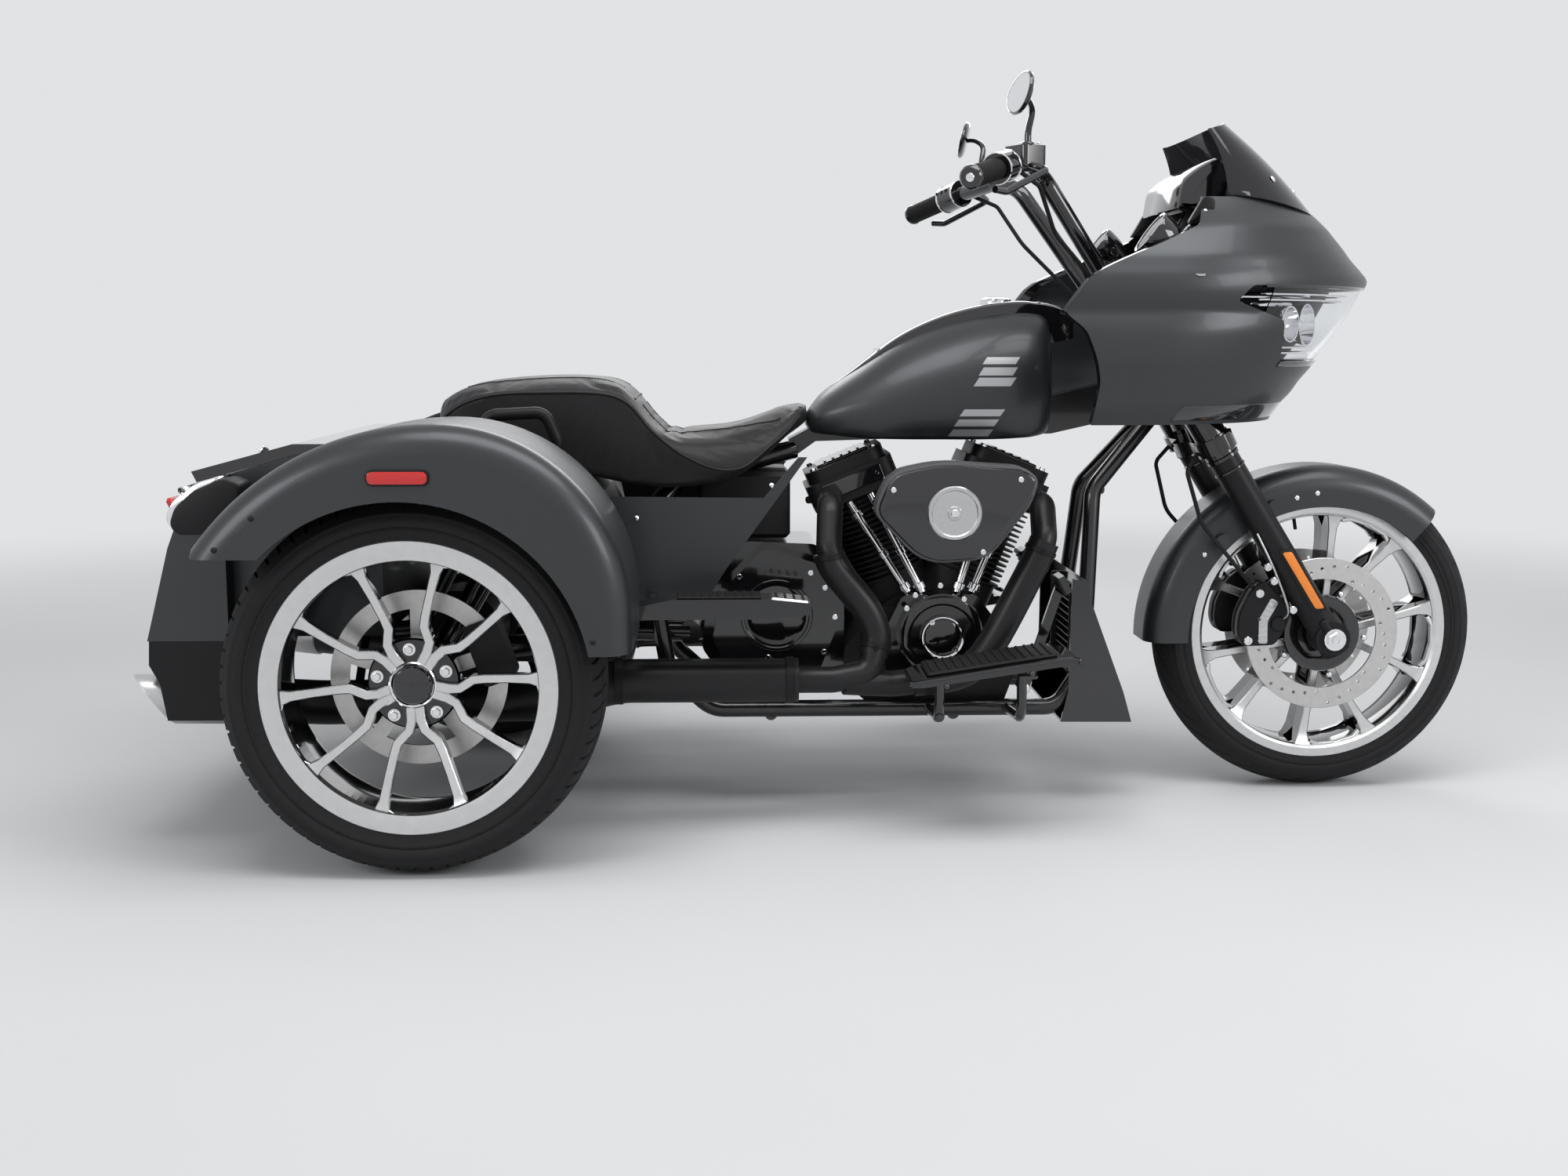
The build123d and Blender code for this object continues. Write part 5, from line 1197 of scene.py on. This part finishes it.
def make_bar_details():
    build = Build()
    for side in (-1, 1):
        run, end = bar_side(BAR_RUN, side), bar_side(BAR_END, side)
        outer = end + run * 3
        build.use(grip_rubber)
        profile = [(16.6, 0)]
        for k in range(22):
            h = 4 + k * 5.2
            profile += [(19.2, h), (19.2, h + 3.6), (18.0, h + 4.0), (18.0, h + 4.9)]
        profile += [(19.2, 119), (18, 121.5), (16.6, 121.5)]
        build.turned(profile, outer - run * 122, run, 40)
        build.use(gloss)
        build.turned([(0.5, 8), (17, 7.4), (20.5, 4), (21, 0), (19.6, -3), (0.5, -3)], outer, run, 36)
        build.use(chrome).turned([(0.5, 9), (7, 8.8), (7.6, 7.8), (0.5, 7)], outer, run, 24)
    build.done("ribbed_grips", "steering", ["grips"], "grip_rubber", smooth=40)
    knobs = Build()
    for side in (-1, 1):
        run, end = bar_side(BAR_RUN, side), bar_side(BAR_END, side)
        middle = end - run * 150
        for k in range(3):
            place = end - run * (132 + k * 16)
            knobs.use(plastic).slab(place + Vector((-26.5, 0, 8)), (5, 11, 9), None, 1.4)
        knobs.use(chrome)
        for h in (-26, 25):
            knobs.turned([(26.6, h), (28.4, h + 1), (28.4, h + 4), (26.6, h + 5)], middle, run, 40)
        top = end - run * 178 + Vector((34, 20 * side, 18))
        for x in (-16, 16):
            knobs.bolt(top + Vector((x, 0, 17)), UP, 4, 3, "dome")
    knobs.done("bar_switches", "steering", slot="black_plastic")
    clamp = Build().use(chrome)
    for y in (-34, 34):
        for x in (-17, 17):
            clamp.bolt((540 + x * 0.86, y, 922 + 24.0 - abs(x) * 0.3), UP, 5.5, 5.0, "socket")
    clamp.done("bar_clamp_bolts", "steering", slot="chrome")


def make_mirror_heads():
    """Rounded mirror heads with their glass, on the bent stems."""
    foot = BAR_END - BAR_RUN * 178 + Vector((38, 16, 35.3))
    build = Build()
    for side in (-1, 1):
        base = bar_side(foot, side)

        def put(x, y, z):
            return base + Vector((x, y * -side, z))

        build.use(gloss)
        build.tube([put(0, 0, 0), put(0, 0, 26), put(4, -12, 58), put(-8, -40, 74), put(-24, -62, 77)],
                   lambda t: 6.6 - 2.2 * t, 12)
        build.turned([(0.5, 0), (12, 0), (12, 5), (8, 9), (0.5, 9)], put(0, 0, -1), UP, 24)
        turn = about_y(14) @ Matrix.Rotation(math.radians(10 * -side), 3, "Z")
        centre = put(-26, -74, 80)

        def outline(grow, depth):
            ring = []
            for k in range(40):
                a = 2 * math.pi * k / 40
                y = math.cos(a) * (57 - grow)
                z = math.sin(a) * (38 - grow) * (1 + 0.16 * math.cos(a) * side)
                ring.append(centre + turn @ Vector((depth, y, z)))
            return ring

        build.quads([outline(26, 6.4), outline(10, 5.2), outline(2, 1.5), outline(0, -2.5),
                     outline(1.4, -5.6), outline(3.6, -6.0), outline(4.2, -4.6)])
        build.use(mirror_glass).quads([outline(4.4, -5.0), outline(4.4, -5.5)])
    build.done("mirror_heads", "steering", ["mirrors"], "gloss_black", smooth=50)


# Engine details
CYLINDER_TILT = math.radians(22.5)
CRANK_X, CRANK_Z = 155, 265
CAM_FACE, CAM_BOSS = (173, -186, 331), (173, -196, 331)
GEAR_FACE = (-140, -176, 372)
MEDALLION = (174, -337, 580)
# Places and heights of the bolts, seen from the side
CAM_BOLTS = ((121, 411), (168, 429), (213, 403), (105, 386), (152, 360), (196, 310))
GEAR_BOLTS = ((-76, 453), (-49, 425), (-30, 369), (-156, 292), (-50, 302), (-210, 446), (-240, 411))


def cylinder_point(sign, along_it, shift, y):
    """A place on a cylinder: up its axis, then across it towards the front."""
    tilt = CYLINDER_TILT * sign
    return Vector((CRANK_X + math.sin(tilt) * along_it + math.cos(tilt) * shift, y,
                   CRANK_Z + math.cos(tilt) * along_it - math.sin(tilt) * shift))


def make_engine_details():
    build = Build()
    for sign in (-1, 1):
        tilt = CYLINDER_TILT * sign
        up = Vector((math.sin(tilt), 0, math.cos(tilt)))
        for y in (-72, 72):
            for shift in (-62, 62):
                build.use(chrome).bolt(cylinder_point(sign, 428, shift, y), up, 6.0, 5.5, "socket")
        build.use(gloss)
        turn = Matrix((Vector((math.cos(tilt), 0, -math.sin(tilt))), Vector((0, 1, 0)), up)).transposed()
        build.slab(cylinder_point(sign, 430, 0, 0), (104, 128, 7), turn, 2.6)
        for k in range(5):
            build.slab(cylinder_point(sign, 434.5, -34 + 17 * k, 0), (5, 104, 3.4), turn, 1)
        for y in (-1, 1):
            build.use(gloss).slab(cylinder_point(sign, 381, 0, y * 99.5), (120, 5, 30), turn, 2)
            build.use(chrome)
            for shift in (-50, 50):
                build.bolt(cylinder_point(sign, 381, shift, y * 101.5), (0, y, 0), 4.4, 4.0, "socket")
        build.use(plastic)
        plug = cylinder_point(sign, 372, sign * 66, -60)
        tip = plug + up.cross(Vector((0, 1, 0))) * (-34 * sign) + Vector((0, -10, 10))
        build.rod(plug, tip, 9, 7, 14, 2)
        build.use(chrome)
        for low_x, shift in zip((112, 140) if sign < 0 else (206, 234), (-22, 22)):
            top = cylinder_point(sign, 349, shift, -104)
            low = Vector((low_x, -132, 409))
            way = (top - low).normalized()
            for t, r in ((0.06, 12.5), (0.42, 10.6), (0.86, 12.0)):
                place = low.lerp(top, t)
                build.turned([(7.4, -7), (r, -6), (r, 5), (r - 2, 7), (7.4, 7)], place, way, 24)
    build.done("head_bolts_and_covers", "chassis", slot="gloss_black")
    cam = Build()
    for x, z in CAM_BOLTS:
        y = -186.2 if math.hypot(x - CAM_FACE[0], z - CAM_FACE[2]) > 44 else -196.2
        cam.use(chrome).bolt((x, y, z), RIGHT, 5.4, 4.4, "socket")
    cam.use(gloss)
    cam.turned([(60, 0), (64, 4.5), (72, 5), (78, 2), (78, -2), (60, -2)], CAM_FACE, RIGHT, 72)
    cam.turned([(0.5, 6), (26, 5), (34, 1), (34, -2), (0.5, -2)], CAM_BOSS, RIGHT, 48)
    cam.use(chrome)
    cam.turned([(35.5, 2.4), (37.5, 3.2), (39.5, 2.4), (39.5, -1), (35.5, -1)], CAM_BOSS, RIGHT, 48)
    for x, z in GEAR_BOLTS:
        cam.use(chrome).bolt((x, -176.2, z), RIGHT, 5.4, 4.6, "socket")
    cam.use(gloss)
    cam.turned([(0.5, 7), (46, 5), (56, 0), (56, -3), (0.5, -3)], GEAR_FACE, RIGHT, 60)
    cam.turned([(60, -1), (62, 3), (67, 3), (69, -1)], GEAR_FACE, RIGHT, 60)
    cam.done("cam_and_gear_covers", "chassis", slot="gloss_black")
    clean = Build()
    corners = [(28, 580), (58, 652), (150, 672), (300, 662), (328, 640), (316, 596), (238, 494), (120, 486)]
    outline = rounded(corners, [24, 34, 40, 18, 14, 40, 34, 44], 7)
    clean.use(mesh_grey).prism(outline, -322, -262, 2.5)
    clean.use(gloss).prism(inset_flat(outline, 5), -337, -318, 7)
    clean.prism(inset_flat(outline, 1), -268, -232, 4)
    clean.use(steel)
    clean.turned([(0.5, 5.5), (12, 5.5), (13, 3.8), (40, 3.6), (42, 5.4), (47, 5.4), (49, 3), (49, -3),
                  (0.5, -3)], MEDALLION, RIGHT, 64)
    clean.use(chrome).bolt((174, -341, 580), RIGHT, 7.6, 5.0, "socket")
    for x, z in ((64, 622), (292, 640), (226, 510)):
        clean.bolt((x, -336.6, z), RIGHT, 5.0, 3.4, "socket")
    clean.use(gloss).turned([(30, 0), (32, 60), (32, 196), (26, 198), (26, 0)], (155, -36, 606), RIGHT, 40)
    for x in (66, 182):
        clean.rod((x, -12, 606), (x + 62, -12, 606), 25, segments=24)
    clean.rod((155, 14, 606), (155, -44, 606), 30, segments=32)
    clean.done("air_cleaner_cover", "chassis", ["air_cleaner"], "gloss_black", smooth=38)


def inset_flat(outline, distance):
    return inset([Vector((p[0], p[1])) for p in outline], distance)


def make_exhaust_details():
    build = Build()
    span = 28.0
    for points in (
        [(-46, -252, 500), (-36, -254, 470), (20, -259, 400), (40, -262, 350), (34, -270, 310)],
        [(352, -250, 520), (330, -252, 470), (268, -258, 350), (226, -262, 292), (180, -265, 270),
         (110, -268, 262)],
    ):
        build.use(pipe_black).tube(points, span, 28)
        line = spline(points, 30)
        for k in (3, 26):
            build.use(satin).turned([(span - 1, -5), (span + 2.2, -4), (span + 2.2, 4), (span - 1, 5)],
                                    line[k], line[k + 1] - line[k - 1], 32)
            build.bolt(line[k] + Vector((0, -span - 1, 0)), RIGHT, 4.0, 5.0, "hex")
    for side in (-1, 1):
        way = Vector((-176, side * 48, 12)).normalized()
        for at_x, y in ((-430, 300), (-120, 300)):
            build.use(satin).turned([(39.5, -8), (43, -7), (43, 7), (39.5, 8)], (at_x, side * y, 272),
                                    (1, 0, 0), 48)
        start = Vector((-1110, side * 350.6, 253.4))
        build.use(steel)
        rings = []
        for r, lift in ((41.0, 0.0), (44.0, 4.0), (44.0, 1.0), (42.8, 1.03), (38.0, 1.0), (38.0, 0.3)):
            ring = []
            side_way = Vector((0, 0, 1)).cross(way).normalized()
            up_way = way.cross(side_way)
            for k in range(44):
                a = 2 * math.pi * k / 44
                base = side_way * math.cos(a) * r + up_way * math.sin(a) * r
                reach = lift if lift > 1.5 else lift * (132 + 34 * math.sin(a))
                ring.append(start + base + way * reach)
            rings.append(ring)
        build.quads(rings, caps=False)
    build.done("heat_shields_and_tips", "chassis", slot="satin_black", smooth=40)


# Seat
# Upright sections: place, top, seam, low edge, half width at the top, at the seam, at the low edge
SEAT = [
    (-784, 726, 704, 660, 60, 78, 84), (-776, 762, 726, 656, 96, 118, 116),
    (-760, 782, 744, 655, 118, 140, 134), (-720, 799, 770, 655, 134, 158, 150),
    (-660, 807, 786, 655, 140, 165, 156), (-560, 814, 790, 650, 140, 166, 158),
    (-480, 814, 789, 634, 138, 166, 160), (-436, 808, 781, 624, 136, 166, 162),
    (-408, 786, 762, 620, 138, 167, 164), (-380, 745, 728, 616, 146, 170, 166),
    (-350, 718, 700, 613, 154, 174, 168), (-310, 706, 672, 615, 160, 176, 168),
    (-250, 706, 648, 622, 160, 174, 164), (-200, 714, 652, 640, 150, 164, 154),
    (-150, 732, 690, 678, 122, 140, 134), (-118, 748, 716, 706, 92, 110, 106),
    (-92, 764, 742, 722, 62, 78, 74), (-78, 762, 746, 732, 40, 52, 48),
]
# How far a point of the cover may move, in metres
MOST_SWELL = 0.016


def seat_ring(x):
    top, seam, low, half_top, half_seam, half_low = along(SEAT, x)
    edge = top - (top - seam) * 0.25
    side = [(0, top), (half_top * 0.5, top), (half_top * 0.82, top - 2), (half_top, edge),
            (half_seam - 2, seam + 3), (half_seam, seam), (half_seam - 1, seam - 3),
            (half_low, low + 3), (half_low - 5, low), (half_low * 0.5, low), (0, low)]
    return mirrored(x, side, 1, -1)


def make_seat():
    build = Build().use(vinyl)
    rings = [seat_ring(x) for x in heights(-784, -78, 14)]
    build.quads(rings)
    seat = build.done("seat_cushion", "chassis", ["seat"], "seat_leather", smooth=60)
    puff(seat)
    trim_seat(seat)


def puff(seat):
    """Let the cover swell over its foam, held along its low edge."""
    bpy.context.view_layer.objects.active = seat
    step = seat.modifiers.new("even", "REMESH")
    step.mode = "VOXEL"
    step.voxel_size = 0.0065
    settle(seat)
    held = seat.vertex_groups.new(name="held")
    for vert in seat.data.vertices:
        x = vert.co.x / MM
        _, seam, low, _, half_seam, _ = along(SEAT, x)
        z = vert.co.z / MM
        y = abs(vert.co.y / MM)
        stay = 1.0 if z < low + 14 else 0.0
        if abs(z - seam) < 5 and y > half_seam - 14:
            stay = 1.0
        if abs(x + 404) < 5 and z > seam:
            stay = max(stay, 0.9)
        if stay:
            held.add([vert.index], stay, "REPLACE")
    cloth = seat.modifiers.new("cover", "CLOTH")
    rules = cloth.settings
    rules.quality = 5
    rules.mass = 0.25
    rules.use_pressure = True
    rules.uniform_pressure_force = 4.0
    rules.tension_stiffness = 28.0
    rules.compression_stiffness = 28.0
    rules.shear_stiffness = 12.0
    rules.bending_stiffness = 0.8
    rules.vertex_group_mass = "held"
    rules.effector_weights.gravity = 0.0
    cloth.point_cache.frame_start = 1
    cloth.point_cache.frame_end = 20
    before = [vert.co.copy() for vert in seat.data.vertices]
    scene = bpy.context.scene
    for count in range(1, 21):
        scene.frame_set(count)
        bpy.context.evaluated_depsgraph_get()
    settle(seat)
    scene.frame_set(1)
    for vert, old in zip(seat.data.vertices, before):
        moved = vert.co - old
        if moved.length > MOST_SWELL:
            vert.co = old + moved.normalized() * MOST_SWELL
    step = seat.modifiers.new("smooth", "SUBSURF")
    step.levels = 1
    step.render_levels = 1
    settle(seat)
    shade(seat, 60)


def trim_seat(seat):
    """Piping, seams and stitches that lie on the finished cushion."""
    tree = surface_of(seat)
    build = Build().use(vinyl)
    for side in (-1, 1):
        line = []
        for x in heights(-770, -92, 12):
            _, seam, _, _, half_seam, _ = along(SEAT, x)
            line.append(drop_on(tree, Vector((x, side * half_seam, seam)), Vector((0, -side, 0)), 0.6))
        build.tube(line, 2.6, 8, len(line) * 2)
    across_line = []
    for y in heights(-128, 128, 8):
        across_line.append(drop_on(tree, Vector((-404, y, 860)), Vector((0, 0, -1)), 0.4))
    build.tube(across_line, 2.2, 8, len(across_line) * 2)
    for x_low, x_high, y in ((-392, -130, 84), (-720, -424, 96)):
        for side in (-1, 1):
            line = []
            for x in heights(x_low, x_high, 12):
                half_top = along(SEAT, x)[3]
                reach = min(y, half_top * 0.72)
                line.append(drop_on(tree, Vector((x, side * reach, 900)), Vector((0, 0, -1)), 0.0))
            build.tube(line, 1.5, 6, len(line) * 2)
            build.use(thread)
            for k in range(0, len(line) - 1):
                for t in (0.15, 0.65):
                    a = line[k].lerp(line[k + 1], t)
                    b = line[k].lerp(line[k + 1], t + 0.28)
                    lift = Vector((0, side * 4.5, 0.9))
                    build.rod(a + lift, b + lift, 0.8, segments=5)
            build.use(vinyl)
    build.done("seat_piping_and_stitches", "chassis", slot="seat_leather", smooth=60)


def surface_of(made):
    bpy.context.view_layer.update()
    graph = bpy.context.evaluated_depsgraph_get()
    return BVHTree.FromObject(made.evaluated_get(graph), graph)


def drop_on(tree, start, way, proud):
    """The place where a line meets a surface, lifted a little off it."""
    begin = start * MM - way * 0.08
    hit = tree.ray_cast(begin, way)[0]
    if hit is None:
        return start
    return hit / MM - way * proud


# Rear body
def make_rear_body():
    build = Build()
    for side in (-1, 1):
        rim = rounded([(-800, 660), (-700, 660), (-700, 686), (-800, 686)], 12.6, 8)
        build.use(satin).plate(rim, side, 690.0, 694.4, 1.4)
        inner = rounded([(-797, 663), (-703, 663), (-703, 683), (-797, 683)], 9.9, 8)
        build.use(red_lens).plate(inner, side, 693.0, 697.0, 1.3)
    build.done("side_markers", "chassis", slot="red_lens")
    lamps = Build()
    for side in (-1, 1):
        base = rounded([(-1092, 566), (-1150, 566), (-1160, 584), (-1150, 612), (-1118, 640), (-1070, 660),
                        (-1040, 650), (-1050, 600)], 9, 4)
        lamps.use(plastic).plate(base, side, 438, 522, 4)
        housing = rounded([(-1100, 574), (-1158, 572), (-1170, 592), (-1158, 620), (-1118, 650),
                           (-1076, 664), (-1080, 610)], 10, 5)
        lamps.use(chrome).plate(housing, side, 446, 514, 6)
        lamps.use(red_lens).slab((-1155, side * 480, 606), (12, 58, 44), about_y(-24), 4)
        lamps.use(lens).slab((-1141, side * 480, 637), (10, 52, 16), about_y(-50), 3)
        lamps.use(plastic).rod((-1120, side * 440, 596), (-1096, side * 428, 596), 8, segments=16,
                               chamfer=1.5)
        lamps.use(chrome).bolt((-1126, side * 515, 600), (0, side, 0), 4.0, 3.0, "dome")
    lamps.done("tail_lamp_units", "chassis", ["rear_lights"], "chrome", smooth=40)
    rear = Build()
    rear.use(plastic).slab((-1240.6, 0, 306), (3, 210, 112), None, 1.4)
    rear.use(stripe).slab((-1242.4, 0, 306), (1.4, 190, 96), None, 0.6)
    rear.use(chrome)
    for y in (-90, 90):
        for z in (266, 346):
            rear.bolt((-1237, y, z), (-1, 0, 0), 5.0, 4.4, "dome")
    for side in (-1, 1):
        rear.use(satin).slab((-1236, side * 210, 346), (6, 76, 20), None, 3)
        rear.use(red_lens).slab((-1239, side * 210, 346), (4, 66, 12), None, 1.6)
    rear.use(plastic).slab((-1240, 0, 372), (8, 150, 14), None, 3)
    for y in (-48, 48):
        rear.use(lens).slab((-1242, y, 366), (6, 20, 6), None, 1.6)
    rear.done("plate_and_reflectors", "chassis", slot="black_plastic")


def make_lid_details():
    build = Build()
    for chosen, profile in (
        (satin, [(0.5, 5), (11, 5), (14, 2), (14, -6), (0.5, -6)]),
        (chrome, [(11.6, 4.6), (13, 6.2), (14.6, 4.6), (14.6, 2), (11.6, 2)]),
    ):
        build.use(chosen).turned(profile, (-1134, 0, 668), (-0.9, 0, 0.44), 32)
    build.use(plastic).slab((-1134.4, 0, 671.6), (2.4, 2, 9), None, 0.4)
    build.done("lid_lock", "trunk_lid_body", slot="chrome")


# Boards
def make_boards():
    build = Build()
    for side in (-1, 1):
        turn = Matrix.Rotation(-math.atan2(37.0, 244.0), 3, "Y")
        middle = Vector((232, side * 375, 319.4))
        build.use(grip_rubber).slab(middle + turn @ Vector((0, 0, 2.4)), (232, 124, 7), turn, 3)
        for k in range(15):
            build.slab(middle + turn @ Vector((-105 + k * 15, 0, 7.0)), (5, 108, 3.4), turn, 1.2)
        build.use(gloss)
        edge = [(x, side * 447, z) for x, z in ((92, 290), (112, 296), (352, 333), (386, 326))]
        build.tube(edge, 3.4, 8, 40)
        for x, z in ((150, 284), (300, 306)):
            build.bolt((x, side * 340, z - 74), (0, side, 0), 8, 7, "hex")
            build.bolt((x, side * 446, z + 3), (0, side, 0), 5, 4, "dome")
        build.slab((300, side * 372, 296), (34, 80, 9), None, 3)
        build.use(grip_rubber).slab((-248, side * 342, 434.5), (150, 70, 6), None, 2.6)
        for k in range(9):
            build.slab((-308 + k * 15, side * 342, 438.4), (5, 60, 3), None, 1.0)
        step_turn = about_y(6)
        build.use(steel).slab((-122, side * 342, 427.5), (72, 76, 9), step_turn, 4)
        build.use(grip_rubber)
        for k in range(4):
            build.slab((-146 + k * 16, side * 342, 433.4 - k * 1.7), (6, 62, 4), step_turn, 1.2)
        build.use(chrome).bolt((-372, side * 311, 412), (0, side, 0), 9, 7, "hex")
    build.done("board_pads", "chassis", slot="grip_rubber", smooth=40)
    pads = Build()
    for side in (-1, 1):
        turn = about_y(-28)
        middle = Vector((394, side * 213, 436))
        pads.use(grip_rubber).slab(middle - turn @ Vector((8, 0, 0)), (6, 64, 38), turn, 2)
        for k in range(4):
            pads.slab(middle + turn @ Vector((-12, 0, -13.5 + k * 9)), (3, 58, 3.6), turn, 1)
        pads.use(chrome).bolt((330, side * 190, 232), (0, side, 0), 8, 6, "hex")
    pads.done("pedal_pads", "chassis", slot="grip_rubber", smooth=40)


def make_body_bolts():
    build = Build()
    for side in (-1, 1):
        for x, z in ((-400, 560), (-150, 620), (-300, 390)):
            build.use(chrome).bolt((x, side * 206, z), (0, side, 0), 5.4, 3.2, "dome")
        for x, z in ((-448, 410), (-1040, 560), (-980, 610)):
            build.use(satin).bolt((x, side * 690, z), (0, side, 0), 5.0, 2.6, "dome")
        for x, z in ((478, 600), (452, 260)):
            build.use(gloss).rod((x + 14, side * 60, z), (x + 22, side * 60, z), 10, segments=16, chamfer=2)
    build.use(plastic).slab((-200, 0, 575), (176, 236, 126), None, 8)
    build.use(satin)
    for k in range(13):
        build.slab((452, 0, 236 + k * 14), (30, 180, 2.4), about_y(12), 0.6)
    for y in (-93, 93):
        build.slab((450, y, 322), (40, 8, 196), None, 2)
    build.done("cooler_and_body_bolts", "chassis", slot="satin_black")


# The finish of each node that no piece replaces, and of those that one does, should it show
CAD_FINISHES = (
    (paint, "front_fender fairing_shell fuel_tank side_covers rear_fenders trunk_body"),
    (gloss, "shocks fork_trees handlebar bar_controls mirrors cam_cover air_cleaner transmission "
            "primary_cover foot_controls fairing_inner tank_console trunk_lid chin_spoiler footboards "
            "passenger_boards front_rim rear_rim_left rear_rim_right"),
    (satin, "fork_sliders front_calipers fairing_bracket rear_valance grab_rails"),
    (frame_black, "frame_backbone frame_cradle rear_subframe swingarm"),
    (cast, "rear_axle rear_calipers engine_crankcase engine_cylinders"),
    (plastic, "belt_drive body_deck instrument_panel plate_bracket"),
    (rubber, "brake_hoses control_cables front_tyre rear_tyre_left rear_tyre_right"),
    (chrome, "front_axle pushrod_tubes"), (pipe_black, "exhaust_headers mufflers"), (grip_rubber, "grips"),
    (amber_lens, "fork_reflectors"), (lens, "headlamps"), (smoke, "windshield"), (vinyl, "seat"),
    (red_lens, "rear_lights"), (disc_front, "front_discs"), (disc_rear, "rear_disc_left rear_disc_right"),
)


def dress_nodes():
    finish_of = {name: chosen for chosen, names in CAD_FINISHES for name in names.split()}
    for name, carried in nodes.items():
        chosen = finish_of.get(name, satin)
        if not carried.material_slots:
            carried.data.materials.append(chosen)
        for held in carried.material_slots:
            held.material = chosen


make_camera()
make_stage()
dress_nodes()
make_fairing()
make_tank()
make_rear_wheel(-1, right_face, "rear_wheel_right_spokes", "rear_wheel_right")
make_rear_wheel(1, left_face, "rear_wheel_left_spokes", "rear_wheel_left")
make_front_wheel()
make_front_discs()
# Tread: size, its blocks round the tyre, and where the grooves and sipes run
REAR_TREAD = dict(radius=320, half=107.5, rim_r=236, rim_half=92, crown=20, pitches=70, depth=5.0,
                  rows=(18, 54), sipe=(26, 92, 0.05, False))
FRONT_TREAD = dict(radius=316, half=65, rim_r=243, rim_half=58, crown=30, pitches=36, depth=4.2, rows=(0,),
                   sipe=(6, 50, 0.30, True))
for hand, rear_y in (("right", -REAR_Y), ("left", REAR_Y)):
    make_tyre(f"rear_tyre_{hand}_tread", f"rear_wheel_{hand}", f"rear_tyre_{hand}",
              (REAR_X, rear_y, REAR_Z), **REAR_TREAD)
make_tyre("front_tyre_tread", "front_wheel", "front_tyre", FRONT_CENTRE, **FRONT_TREAD)
make_fork_details()
make_bar_details()
make_mirror_heads()
make_engine_details()
make_exhaust_details()
make_seat()
make_rear_body()
make_lid_details()
make_boards()
make_body_bolts()
